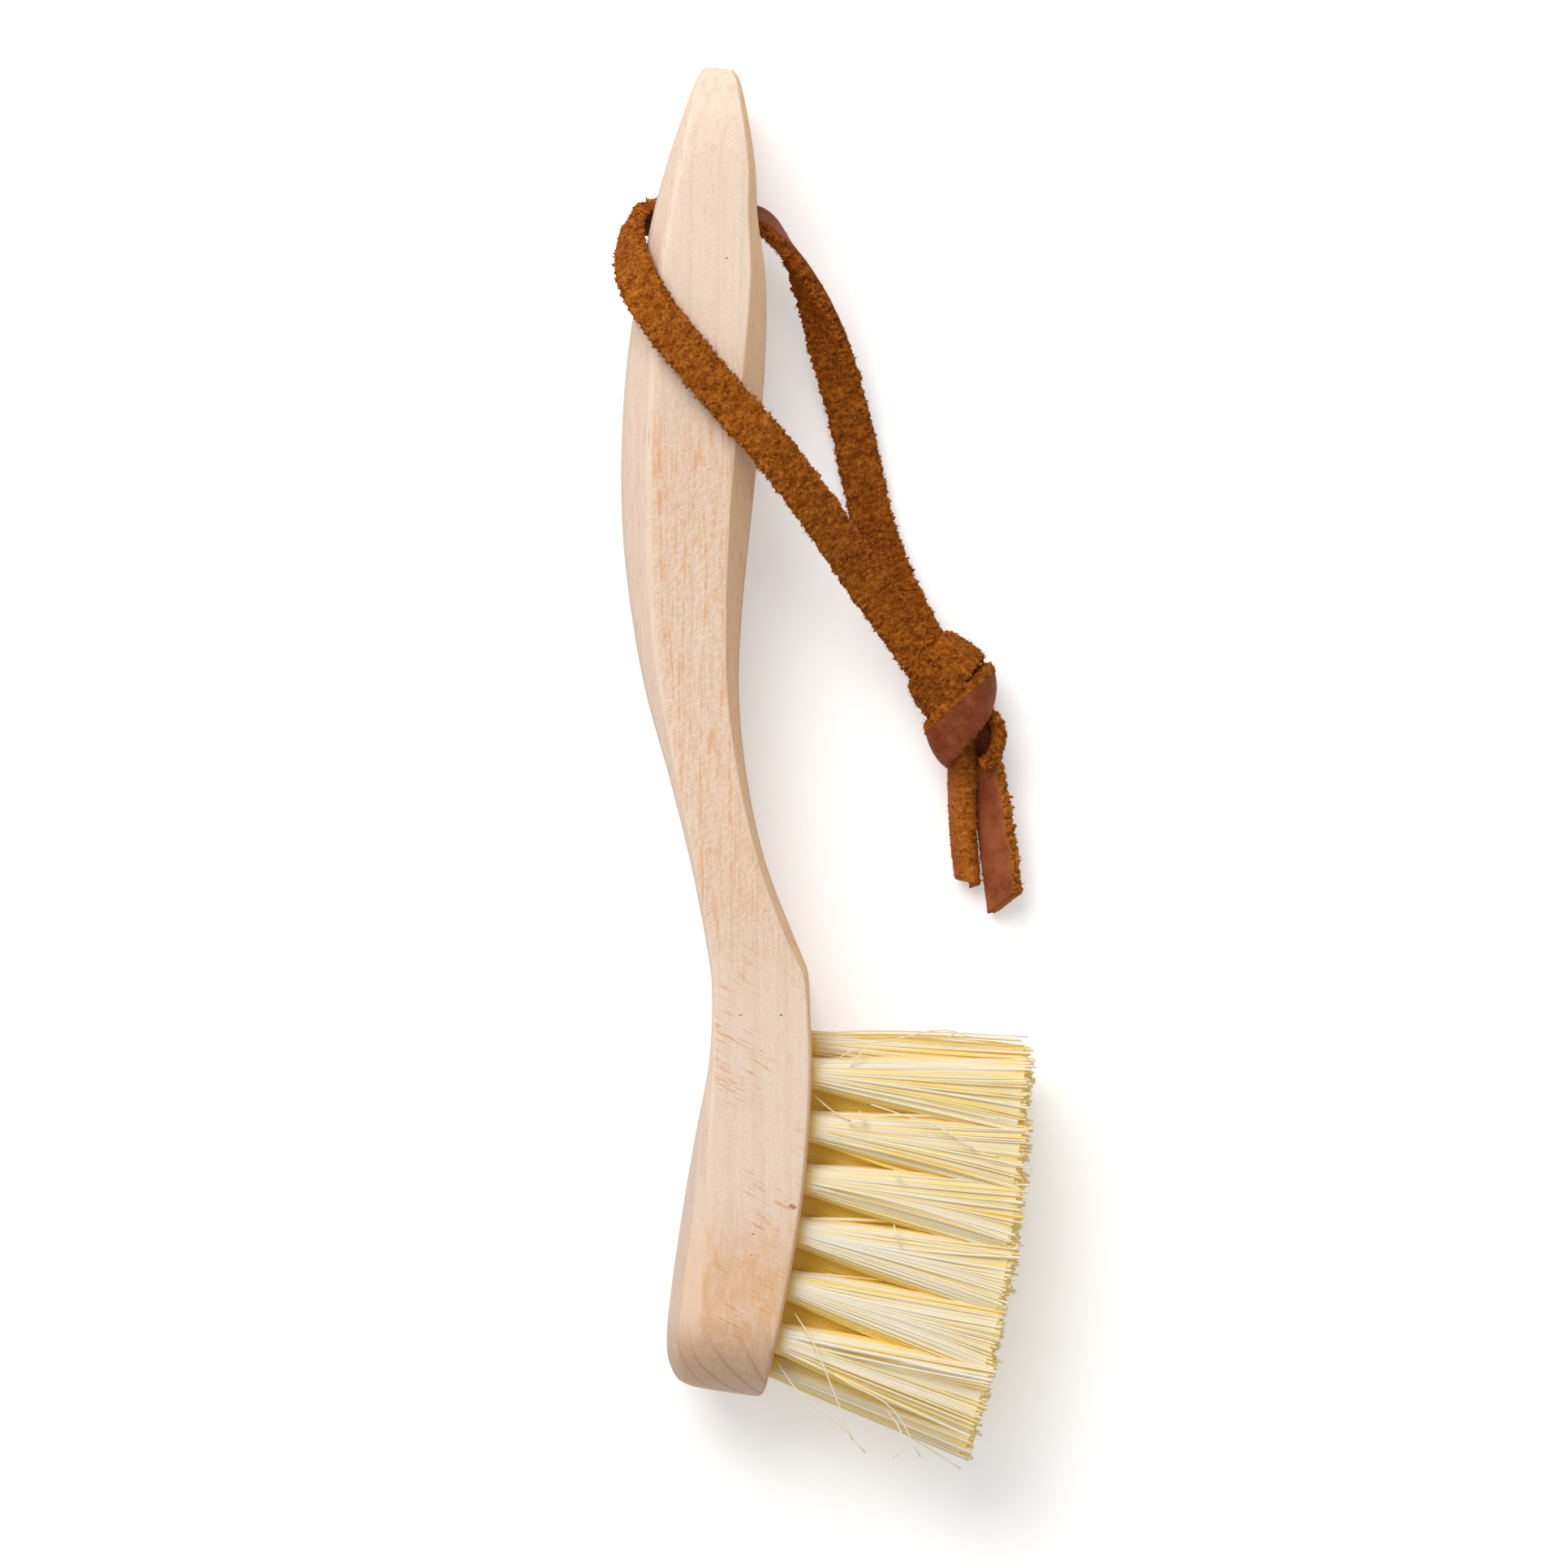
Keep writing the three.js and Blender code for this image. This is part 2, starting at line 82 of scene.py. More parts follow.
# Fineness of the tables that lengths and places are read from: points for each point of a curve, points
# along the front edge of the wood, and points round a tuft.
CURVE_SAMPLES = 60
FACE_SAMPLES = 1201
ROUND_SAMPLES = 721

# A path that points up by more than this share takes X and not Z as the reference of its rings.
STEEPEST = 0.8

# Sockets of a node that mixes colours: its share, its two colours and its result.
MIX_SHARE, MIX_FIRST, MIX_SECOND, MIX_RESULT = 0, 6, 7, 2

# Rays that look for what shuts a point in.
SHUT_IN_RAYS = 8

log = logging.getLogger("brush")


class Body(str, Enum):
    """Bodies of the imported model."""

    BRUSH = "brush"
    LOOP = "loop"


class Slot(str, Enum):
    """Material slots of the record that the pieces of the scene take."""

    WOOD = "wood"
    FIBRE = "fibre"
    LEATHER = "leather"


class Outside(Enum):
    """Which side of the lace faces outwards in a turn of the knot."""

    ROUGH = 1.0
    SMOOTH = -1.0


def unit(vectors: Array) -> Array:
    """Scales vectors to length 1: each is divided by its own length along the last axis."""
    return vectors / np.linalg.norm(vectors, axis=-1, keepdims=True)


def share_of(values: Array, start: float, end: float) -> Array:
    """How far values lie on the way from start to end, held between 0 and 1."""
    return np.clip((values - start) / (end - start), 0, 1)


def run_along(points: Array) -> Array:
    """Length run along a line of points, from 0 at the first."""
    return np.concatenate([[0], np.cumsum(np.linalg.norm(np.diff(points, axis=0), axis=1))])


def spline_at(points: Array, shares: Array) -> Array:
    """Points on a smooth curve through a list of points.

    Each span is a cubic whose end slopes come from the neighbouring points, weighted by the square root of
    the distances between them, so that uneven spacing makes no loops.

    Args:
        points: the points, one a row.
        shares: places along the list, from 0 at the first point to 1 at the last.

    Returns:
        One row for each share.
    """
    points = np.asarray(points, float)
    before = 2 * points[0] - points[1]
    after = 2 * points[-1] - points[-2]
    padded = np.vstack([before, points, after])
    place = np.clip(shares, 0, 1) * (len(points) - 1)
    span = np.minimum(place.astype(int), len(points) - 2)
    weight = (place - span)[:, None]
    p0, p1, p2, p3 = (padded[span + step] for step in range(4))
    gaps = [np.linalg.norm(b - a, axis=1, keepdims=True) for a, b in ((p0, p1), (p1, p2), (p2, p3))]
    d0, d1, d2 = (np.maximum(np.sqrt(gap), TINY) for gap in gaps)
    start = ((p1 - p0) / d0 - (p2 - p0) / (d0 + d1) + (p2 - p1) / d1) * d1
    end = ((p2 - p1) / d1 - (p3 - p1) / (d1 + d2) + (p3 - p2) / d2) * d1
    square = 3 * (p2 - p1) - 2 * start - end
    cube = 2 * (p1 - p2) + start + end
    return p1 + weight * (start + weight * (square + weight * cube))


def even_shares(points: Array, step: float) -> Array:
    """Shares of a smooth curve that lie evenly along its length.

    Args:
        points: the points of the curve.
        step: wanted distance between neighbours.

    Returns:
        Shares from 0 to 1.
    """
    fine = np.linspace(0, 1, CURVE_SAMPLES * len(points))
    run = run_along(spline_at(points, fine))
    count = max(2, int(round(run[-1] / step)))
    return np.interp(np.linspace(0, run[-1], count + 1), run, fine)


def patches(rng: Random, rows: int, columns: int, cells: tuple[int, int]) -> Array:
    """Smooth random values over a grid whose last column meets its first.

    Args:
        rng: source of the random values.
        rows: rows of the grid.
        columns: columns of the grid.
        cells: how many random values lie along the rows and round the columns.

    Returns:
        Values from -1 to 1, blended between the random ones by an S-shaped weight.
    """
    knots = rng.uniform(-1, 1, (cells[0] + 2, cells[1]))
    row = np.linspace(0, cells[0], rows)
    column = np.arange(columns) * cells[1] / columns
    r0 = row.astype(int)
    c0 = column.astype(int)
    c1 = (c0 + 1) % cells[1]
    down = (row - r0)[:, None]
    down = down * down * (3 - 2 * down)
    over = (column - c0)[None, :]
    over = over * over * (3 - 2 * over)
    top = knots[r0][:, c0] * (1 - over) + knots[r0][:, c1] * over
    bottom = knots[r0 + 1][:, c0] * (1 - over) + knots[r0 + 1][:, c1] * over
    return top * (1 - down) + bottom * down


def grid_faces(rows: int, columns: int, closed: bool = False) -> Array:
    """Four-sided faces of a skin through rings.

    Args:
        rows: number of rings.
        columns: points in each ring, whose last joins its first.
        closed: whether the last ring joins the first.

    Returns:
        One row of four point numbers for each face, facing outwards where the rings go anticlockwise
        about the way they follow each other.
    """
    row = np.arange(rows if closed else rows - 1)[:, None]
    column = np.arange(columns)[None, :]
    following = (row + 1) % rows
    beside = (column + 1) % columns
    corners = ((row, column), (row, beside), (following, beside), (following, column))
    return np.stack([r * columns + c for r, c in corners], axis=-1).reshape(-1, 4)


def end_faces(rows: int, columns: int) -> list[Array]:
    """Faces that close the first and the last ring of a skin."""
    ring = np.arange(columns)[None]
    return [ring[:, ::-1], ring + (rows - 1) * columns]


@dataclass
class Skin:
    """A mesh in the making."""

    points: Array  # places of its points in millimetres, in the maker's frame
    faces: list[Array]  # arrays of faces, all faces of one array having the same number of corners
    # Named values, one for each point, which the materials read.
    marks: dict[str, Array] = field(default_factory=dict)

    def joined(self, other: "Skin") -> "Skin":
        """Puts another skin into the same mesh.

        Args:
            other: skin with the same marks.

        Returns:
            One skin with the points and faces of both.
        """
        moved = [faces + len(self.points) for faces in other.faces]
        marks = {name: np.concatenate([values, other.marks[name]]) for name, values in self.marks.items()}
        return Skin(np.vstack([self.points, other.points]), self.faces + moved, marks)

    def piece(self, name: str, datum: "Datum", material: Material) -> Piece:
        """Makes the Blender object.

        Args:
            name: name of the piece.
            datum: turns the maker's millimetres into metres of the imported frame.
            material: finish of the piece.

        Returns:
            The object, at the origin with its place in its mesh.
        """
        mesh = bpy.data.meshes.new(name)
        faces = [face for group in self.faces for face in group.tolist()]
        mesh.from_pydata(datum.metres(self.points).tolist(), [], faces)
        for mark, values in self.marks.items():
            layer = mesh.attributes.new(mark, "FLOAT", "POINT")
            layer.data.foreach_set("value", np.ascontiguousarray(values, dtype=np.float32))
        mesh.polygons.foreach_set("use_smooth", np.ones(len(mesh.polygons), dtype=bool))
        mesh.materials.append(material)
        mesh.update()
        piece = bpy.data.objects.new(name, mesh)
        bpy.context.scene.collection.objects.link(piece)
        return piece


def tubes(paths: Array, radii: Array, sides: int, marks: dict[str, Array]) -> Skin:
    """Thin closed tubes along many paths at once.

    Args:
        paths: points of each path, as paths by points by three.
        radii: radius at each point, as paths by points.
        sides: sides of a tube.
        marks: named values at each point of each path, as paths by points.

    Returns:
        One skin with all the tubes.
    """
    count, length, _ = paths.shape
    along = unit(np.gradient(paths, axis=1))
    flat = np.abs(along[:, :1, 2:3]) < STEEPEST
    reference = np.where(flat, np.array([0.0, 0.0, 1.0]), np.array([1.0, 0.0, 0.0]))
    first = unit(np.cross(along, np.broadcast_to(reference, along.shape)))
    second = np.cross(along, first)
    turn = np.arange(sides) * 2 * math.pi / sides
    ring = np.cos(turn)[:, None] * first[:, :, None, :] + np.sin(turn)[:, None] * second[:, :, None, :]
    points = paths[:, :, None, :] + radii[:, :, None, None] * ring
    start = np.arange(count)[:, None] * length * sides
    walls = (start[:, :, None] + grid_faces(length, sides)[None]).reshape(-1, 4)
    ends = [start + end for end in end_faces(length, sides)]
    spread = {name: np.repeat(values.reshape(-1), sides) for name, values in marks.items()}
    return Skin(points.reshape(-1, 3), [walls, *ends], spread)


def lump() -> tuple[Array, Array]:
    """A round lump of twenty three-sided faces.

    Returns:
        Its twelve points, at distance 1 from its middle, and its faces.
    """
    long = (1 + math.sqrt(5)) / 2
    points = np.array([
        (-1, long, 0), (1, long, 0), (-1, -long, 0), (1, -long, 0), (0, -1, long), (0, 1, long),
        (0, -1, -long), (0, 1, -long), (long, 0, -1), (long, 0, 1), (-long, 0, -1), (-long, 0, 1),
    ])
    faces = np.array([
        (0, 11, 5), (0, 5, 1), (0, 1, 7), (0, 7, 10), (0, 10, 11), (1, 5, 9), (5, 11, 4), (11, 10, 2),
        (10, 7, 6), (7, 1, 8), (3, 9, 4), (3, 4, 2), (3, 2, 6), (3, 6, 8), (3, 8, 9), (4, 9, 5), (2, 4, 11),
        (6, 2, 10), (8, 6, 7), (9, 8, 1),
    ])
    return unit(points), faces


@dataclass(frozen=True)
class Datum:
    """Where the maker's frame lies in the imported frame."""

    shift: Array  # millimetres to add to a place in the maker's frame

    @staticmethod
    def of_wood(outline: "Outline") -> "Datum":
        """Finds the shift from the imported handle.

        Args:
            outline: outline of the wood in the maker's frame.

        Returns:
            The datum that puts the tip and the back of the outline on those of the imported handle.
        """
        low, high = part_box("handle")
        back, _ = outline.edges(np.linspace(0, 1, PACKED_SECTIONS))
        return Datum(np.array([low.x / MM - back[:, 0].min(), high.y / MM, 0.0]))

    def metres(self, points: Array) -> Array:
        """Places in millimetres of the maker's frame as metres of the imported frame."""
        return (points + self.shift) * MM


@dataclass(frozen=True)
class Value:
    """An output of a material's node, with which sums are written in plain signs."""

    sketch: "Sketch"  # the material
    socket: bpy.types.NodeSocket  # the output

    def __add__(self, other: "Term") -> "Value":
        """The sum of both."""
        return self.sketch.reckon("ADD", self, other)

    def __sub__(self, other: "Term") -> "Value":
        """The first less the second."""
        return self.sketch.reckon("SUBTRACT", self, other)

    def __rsub__(self, other: float) -> "Value":
        """A number less the value."""
        return self.sketch.reckon("SUBTRACT", other, self)

    def __mul__(self, other: "Term") -> "Value":
        """The product of both."""
        return self.sketch.reckon("MULTIPLY", self, other)

    def __abs__(self) -> "Value":
        """The value without its sign."""
        return self.sketch.reckon("ABSOLUTE", self)

    def between(self, low: float, high: float) -> "Value":
        """Spreads the values from low to high out from 0 to 1 in an S shape, level beyond either."""
        inputs = {"Value": self, "From Min": low, "From Max": high}
        return self.sketch.add("ShaderNodeMapRange", "Result", inputs, interpolation_type="SMOOTHSTEP")

    def ranged(self, low: float, high: float) -> "Value":
        """Turns values from 0 to 1 evenly into values from low to high."""
        return self.sketch.add("ShaderNodeMapRange", "Result", {"Value": self, "To Min": low, "To Max": high})


Term = Value | float
Tint = Value | Colour


@dataclass(frozen=True)
class Pattern:
    """A smooth random pattern of a finish."""

    repeats: Triple  # repeats in a metre along X, Y and Z
    detail: float = 2.0  # how many finer layers are added
    rough: float = 0.5  # how strong those are
    turn: float = 0.0  # turn about Z in degrees
    shows: Pair = (0.0, 1.0)  # values at which it begins to show and shows fully
    share: float = 0.0  # how much it covers everywhere
    more: float = 0.0  # how much more, or below 0 less, it covers in its own place

    def laid(self, noise: Value, place: Value) -> Value:
        """How much it covers: what shows of its noise, times its share and what is more in its place."""
        return noise.between(*self.shows) * (place * self.more + self.share)


class Sketch:
    """A material in the making: a principled shader and the nodes that feed it."""

    def __init__(self, name: str) -> None:
        """Starts a material.

        Args:
            name: name of the material.
        """
        self.material = bpy.data.materials.new(name)
        self.material.use_nodes = True
        self.tree = self.material.node_tree
        self.shader = self.tree.nodes["Principled BSDF"]
        self.place = self.add("ShaderNodeTexCoord", "Object")
        self.normal = self.add("ShaderNodeTexCoord", "Normal")

    def add(self, kind: str, output: str | int, inputs: dict | None = None, **settings: object) -> Value:
        """Adds a node.

        Args:
            kind: type of the node.
            output: name or number of the output that is wanted.
            inputs: outputs to link or values, by the name or number of the input that takes them.
            settings: properties of the node.

        Returns:
            The output.
        """
        made = self.tree.nodes.new(kind)
        for name, setting in settings.items():
            setattr(made, name, setting)
        for name, value in (inputs or {}).items():
            self.feed(made.inputs[name], value)
        return Value(self, made.outputs[output])

    def feed(self, target: bpy.types.NodeSocket, value: Term | Tint) -> None:
        """Gives an input either a link or a fixed value.

        Args:
            target: the input.
            value: an output to link, or the value itself.
        """
        if isinstance(value, Value):
            self.tree.links.new(value.socket, target)
        else:
            target.default_value = value

    def axes(self, vector: Value) -> list[Value]:
        """X, Y and Z of a vector."""
        return [self.add("ShaderNodeSeparateXYZ", axis, {"Vector": vector}) for axis in "XYZ"]

    def stretched(self, repeats: Triple, turn: float = 0.0) -> Value:
        """Coordinates of the piece, turned about Z and then stretched.

        Args:
            repeats: repeats in a metre along X, Y and Z.
            turn: turn about Z in degrees.

        Returns:
            The new coordinates.
        """
        turns = (0.0, 0.0, math.radians(turn))
        turned = self.add("ShaderNodeMapping", "Vector", {"Vector": self.place, "Rotation": turns})
        return self.add("ShaderNodeMapping", "Vector", {"Vector": turned, "Scale": repeats})

    def noise(self, pattern: Pattern) -> Value:
        """The values of a pattern, which lie about 0.5."""
        inputs = {"Vector": self.stretched(pattern.repeats, pattern.turn), "Scale": 1.0,
                  "Detail": pattern.detail, "Roughness": pattern.rough}
        return self.add("ShaderNodeTexNoise", "Fac", inputs)

    def cells(self, repeats: Triple) -> Value:
        """Distances from the middles of random cells, of which so many lie in a metre."""
        inputs = {"Vector": self.stretched(repeats), "Scale": 1.0}
        return self.add("ShaderNodeTexVoronoi", "Distance", inputs)

    def reckon(self, operation: str, *values: Term) -> Value:
        """A sum, by its name, on single values."""
        return self.add("ShaderNodeMath", "Value", dict(enumerate(values)), operation=operation)

    def ramp(self, value: Value, stops: list[tuple[float, Colour]]) -> Value:
        """Colours along a range of values.

        Args:
            value: the value.
            stops: places from 0 to 1 and their colours.

        Returns:
            The colour.
        """
        ramp = self.add("ShaderNodeValToRGB", "Color", {"Fac": value})
        elements = ramp.socket.node.color_ramp.elements
        while len(elements) < len(stops):
            elements.new(0.5)
        for element, (place, colour) in zip(elements, stops):
            element.position = place
            element.color = colour
        return ramp

    def layered(self, colour: Tint, *layers: tuple[Term, Tint]) -> Value:
        """Lays colours over each other.

        Args:
            colour: the lowest colour.
            layers: how much each layer covers, from 0 to 1, and its colour.

        Returns:
            The colour on top.
        """
        for share, tint in layers:
            inputs = {MIX_SHARE: share, MIX_FIRST: colour, MIX_SECOND: tint}
            colour = self.add("ShaderNodeMix", MIX_RESULT, inputs, data_type="RGBA", clamp_factor=True)
        return colour

    def mark(self, name: str) -> Value:
        """A named value of the mesh."""
        return self.add("ShaderNodeAttribute", "Fac", attribute_name=name)

    def shut_in(self, reach: float) -> Value:
        """How far a point is shut in within reach: 0 in the open, 1 with other surfaces on all sides."""
        return 1.0 - self.add("ShaderNodeAmbientOcclusion", "AO", {"Distance": reach}, samples=SHUT_IN_RAYS)

    def surface(self, values: dict[str, Term | Tint]) -> None:
        """Feeds inputs of the shader by their names."""
        for name, value in values.items():
            self.feed(self.shader.inputs[name], value)

    def bump(self, height: Value, strength: float, depth: float) -> None:
        """Makes the surface uneven, by heights from 0 to 1, how much of them shows and metres for 1."""
        inputs = {"Height": height, "Strength": strength, "Distance": depth}
        self.surface({"Normal": self.add("ShaderNodeBump", "Normal", inputs)})


def paint(red: float, green: float, blue: float) -> Colour:
    """A colour as it is seen, written in steps of 255.

    Args:
        red: red.
        green: green.
        blue: blue.

    Returns:
        The colour in linear light: each step is divided by 255, and above 0.04045 it is raised, with 0.055
        added and divided by 1.055, to the power 2.4. Below that it is divided by 12.92.
    """
    seen = np.array([red, green, blue]) / 255
    linear = np.where(seen <= 0.04045, seen / 12.92, ((seen + 0.055) / 1.055) ** 2.4)
    return (*linear.tolist(), 1.0)


@dataclass(frozen=True)
class WoodFinish:
    """Pale sanded hardwood: faint growth rings, fine fibre, warm patches, saw streaks, specks and end grain,
    with painted shade on the bevels, on the steep strip along the back of the head and on the toe, and a
    painted highlight on the ridges.

    A zone is a stretch of the length in metres: where it begins and is full, and where it is still full and
    has ended. A facing is how much a surface faces one way when it begins to count and when it counts fully.
    """

    pale: Colour = paint(245, 221, 200)  # colour of the early wood
    dark: Colour = paint(218, 181, 150)  # colour of the late wood lines
    warm: Colour = paint(233, 188, 144)  # colour of the warm patches, mostly on the grip, also laid on the front bevel as painted shade
    back_bevel_shade: Colour = paint(222, 192, 172)  # painted shade: darker, pinker tint of the bevels along the back, laid by the way they face
    steep_strip_shade: Colour = paint(208, 188, 176)  # painted shade: grey tint of the steep strip along the back of the head, laid by the way it faces
    streak: Colour = paint(231, 158, 94)  # colour of the short slanting streaks
    speck: Colour = paint(184, 100, 52)  # colour of the few small specks
    end: Colour = paint(206, 170, 140)  # tint of the end grain, darker also as painted shade on the toe that faces away from the lamp
    pore: Colour = paint(176, 128, 92)  # colour of the short dark pores
    ridge: Colour = paint(252, 234, 214)  # painted highlight along the rounded ridges
    ring_pitch: float = 0.0021  # distance between growth rings in metres
    ring_tilt: float = 43.0  # slant of the rings to the side faces in degrees
    ring_wave: float = 2.4  # how far the rings wander along the length, in rings
    late_wood: Triple = (0.70, 0.95, 1.0)  # shares of a year at which it darkens, is darkest and ends
    grip_zone: Zone = ((-0.030, -0.016), (0.030, 0.052))
    toe_zone: Zone = ((-0.120, -0.110), (-0.073, -0.065))  # zone of the end grain and of the painted shade on the toe
    head_zone: Zone = ((-0.090, -0.080), (-0.048, -0.036))  # zone of the warm facet along the back
    low_head_zone: Zone = ((-0.078, -0.068), (-0.062, -0.050))  # zone of the warm patches on the head
    streak_zone: Zone = ((-0.090, -0.084), (-0.030, -0.016))
    side_facing: Pair = (0.86, 0.96)
    # The back, steep and front facings pick where painted shade is laid.
    back_facing: Pair = (-0.35, -0.60)
    steep_facing: Pair = (-0.80, -0.90)
    front_facing: Pair = (0.30, 0.55)
    facet_facing: Zone = ((-0.18, -0.36), (-0.80, -0.66))
    # The ridge facing picks where a painted highlight is laid.
    ridge_highlight_facing: tuple[Pair, Pair, Pair] = ((0.985, 0.94), (0.70, 0.80), (0.40, 0.22))
    wander: Pattern = Pattern((60.0, 7.0, 60.0))  # the rings' wandering
    streak_lines: Pattern = Pattern((380.0, 4200.0, 380.0), 1.0, turn=28.0, shows=(0.57, 0.72))
    streak_spots: Pattern = Pattern((130.0, 130.0, 130.0), 1.0, shows=(0.35, 0.60))
    speck_edge: Pattern = Pattern((2600.0, 2600.0, 2600.0), 1.0)
    lines: Pattern = Pattern((1500.0, 20.0, 1500.0), 3.0, 0.6, shows=(0.44, 0.72), share=0.39, more=-0.22)
    strokes: Pattern = Pattern((4200.0, 380.0, 4200.0), 2.0, 0.6, shows=(0.44, 0.72), share=0.12, more=0.26)
    fine: Pattern = Pattern((3000.0, 3000.0, 3000.0), 2.0, 0.6, shows=(0.46, 0.74), share=0.26)
    patch: Pattern = Pattern((1250.0, 330.0, 1250.0), 3.0, 0.6, shows=(0.50, 0.68), share=0.14, more=0.30)
    pebble: Pattern = Pattern((2300.0, 1500.0, 2300.0), 1.0, turn=12.0, shows=(0.40, 0.66), more=0.22)
    pores: Pattern = Pattern((5200.0, 300.0, 5200.0), 1.0, shows=(0.63, 0.76), share=0.44, more=-0.30)
    cloud: Pattern = Pattern((160.0, 46.0, 160.0))
    bands: Pattern = Pattern((430.0, 11.0, 430.0), 1.0, 0.4)
    band_count: float = 7.0  # bands from the least to the most value of their pattern
    thread_edge: Pair = (0.15, 0.03)  # distance from a band's middle at which its thread ends and is full
    thread_patches: Pair = (0.34, 0.60)  # values of the patches at which threads begin to show and show fully
    low_patches: Pair = (0.10, 0.70)  # the same for the warm patches on the head
    # How much each of these covers, the rings once in the grain and once in the pits of the end.
    ring_share: float = 0.15
    end_ring_share: float = 0.45
    cloud_share: float = 0.38
    low_head_share: float = 1.10
    facet_share: float = 0.38
    # The front share lays the warm colour on the front bevel as painted shade.
    front_shade_share: float = 0.80
    thread_share: float = 0.55
    # The back share lays painted shade on the bevels along the back.
    back_shade_share: float = 0.50
    # The steep share lays painted shade on the steep strip along the back of the head.
    steep_shade_share: float = 0.50
    streak_share: float = 0.70
    # The ridge share lays a painted highlight on the rounded ridges.
    ridge_highlight_share: float = 0.30
    speck_share: float = 0.85
    # The end share lays the end grain's own tint together with painted shade on the toe.
    end_grain_and_shade_share: float = 0.60
    # How far these rise over the relief of the grain, below 0 where they sink in.
    pebble_rise: float = -3.0
    thread_rise: float = -0.4
    streak_rise: float = -0.2
    roughness: Pair = (0.50, 0.70)
    shine: float = 0.28
    relief: Pair = (0.60, 0.00006)  # how much of the relief shows, and its height in metres
    speck_squat: float = 1.6  # how much wider than long the specks are
    speck_core: float = 0.72  # part of a speck's length from its place within which it is full
    # X, Y and length of the specks in millimetres.
    speck_places: tuple[Triple, ...] = (
        (-11.6, 59.2, 0.45), (-5.1, -30.1, 0.60), (-9.9, -30.1, 0.45), (-3.8, -52.7, 1.15),
        (-8.4, -55.9, 0.40), (-8.6, -58.4, 0.34), (-13.6, 34.3, 0.30), (-17.2, 29.9, 0.26),
        (-13.1, 72.5, 0.22), (-7.4, -34.3, 0.26), (-12.3, -38.9, 0.24), (-16.5, -73.4, 0.45),
        (-12.0, -9.1, 0.24),
    )

    def rings(self, sketch: Sketch) -> Value:
        """Growth rings: sheets slanting to the side faces, waved a little along the length.

        Args:
            sketch: the material.

        Returns:
            Values that rise slowly through a year and drop at its end.
        """
        x, _, z = sketch.axes(sketch.place)
        tilt = math.radians(self.ring_tilt)
        across = x * (math.cos(tilt) / self.ring_pitch)
        up = z * (math.sin(tilt) / self.ring_pitch)
        year = sketch.reckon("FRACT", across + up + sketch.noise(self.wander) * self.ring_wave)
        darkens, darkest, ends = self.late_wood
        return year.between(darkens, darkest) * year.between(ends, darkest)

    def zone(self, sketch: Sketch, zone: Zone) -> Value:
        """A stretch of the length, with soft ends.

        Args:
            sketch: the material.
            zone: the stretch.

        Returns:
            1 inside and 0 outside.
        """
        _, y, _ = sketch.axes(sketch.place)
        (begins, full), (still_full, ended) = zone
        return y.between(begins, full) * y.between(ended, still_full)

    def facings(self, sketch: Sketch) -> dict[str, Value]:
        """Which way the surface faces.

        Args:
            sketch: the material.

        Returns:
            Values from 0 to 1: side on the flat sides, back and front on the bevels of either edge, steep on
            what faces backwards, facet on slopes that lean a little to the back, and ridge on the rounded
            ridges beside the flat sides. Back, front and steep place painted shade, and ridge a painted
            highlight.
        """
        out, along, up = sketch.axes(sketch.normal)
        up = abs(up)
        gentle, not_steep = self.facet_facing
        not_flat, not_low, not_end = self.ridge_highlight_facing
        return {
            "side": up.between(*self.side_facing),
            "back": out.between(*self.back_facing),
            "steep": out.between(*self.steep_facing),
            "front": out.between(*self.front_facing),
            "facet": out.between(*gentle) * out.between(*not_steep),
            "ridge": up.between(*not_flat) * up.between(*not_low) * abs(along).between(*not_end),
        }

    def streaks(self, sketch: Sketch, side: Value) -> Value:
        """Short slanting streaks on the flat sides of the head and the neck.

        Args:
            sketch: the material.
            side: 1 on the flat sides.

        Returns:
            Values from 0 to 1.
        """
        lines = sketch.noise(self.streak_lines).between(*self.streak_lines.shows)
        some = sketch.noise(self.streak_spots).between(*self.streak_spots.shows)
        return lines * some * side * self.zone(sketch, self.streak_zone)

    def specks(self, sketch: Sketch) -> Term:
        """A few small specks on the side that faces up.

        Each is full within a part of its length from its place, and thins out beyond; its outline is made
        uneven by a fine noise.

        Args:
            sketch: the material.

        Returns:
            Values from 0 to 1.
        """
        uneven = sketch.noise(self.speck_edge)
        squat = (1.0, self.speck_squat, 0.0)
        flat = sketch.add("ShaderNodeMapping", "Vector", {"Vector": sketch.place, "Scale": squat})
        total: Term = 0.0
        for x, y, length in self.speck_places:
            ends = {0: flat, 1: (x * MM, self.speck_squat * y * MM, 0.0)}
            away = sketch.add("ShaderNodeVectorMath", "Value", ends, operation="DISTANCE")
            torn = uneven * (length * MM) + away
            spot = torn.between(length * MM, self.speck_core * length * MM)
            total = sketch.reckon("MAXIMUM", spot, total)
        return total

    def material(self) -> Material:
        """Builds the material: the pale colour under ten layers, some of them painted shade and a painted
        highlight laid by the way the surface faces, with a fine relief.

        Returns:
            The wood.
        """
        sketch = Sketch("pale_wood")
        facing = self.facings(sketch)
        side = facing["side"]
        grip = self.zone(sketch, self.grip_zone)
        toe = self.zone(sketch, self.toe_zone)
        low_head = self.zone(sketch, self.low_head_zone)
        flat_grip = grip * side
        lines = sketch.noise(self.lines)
        strokes = sketch.noise(self.strokes)
        fine = sketch.noise(self.fine)
        patch = sketch.noise(self.patch)
        pebble = sketch.noise(self.pebble)
        bands = sketch.reckon("FRACT", sketch.noise(self.bands) * self.band_count)
        threads = abs(bands - 0.5).between(*self.thread_edge) * patch.between(*self.thread_patches)
        rings = self.rings(sketch)
        streaks = self.streaks(sketch, side)
        grain = (rings * self.ring_share + self.lines.laid(lines, side) + self.strokes.laid(strokes, grip)
                 + self.fine.laid(fine, side) + self.pebble.laid(pebble, flat_grip))
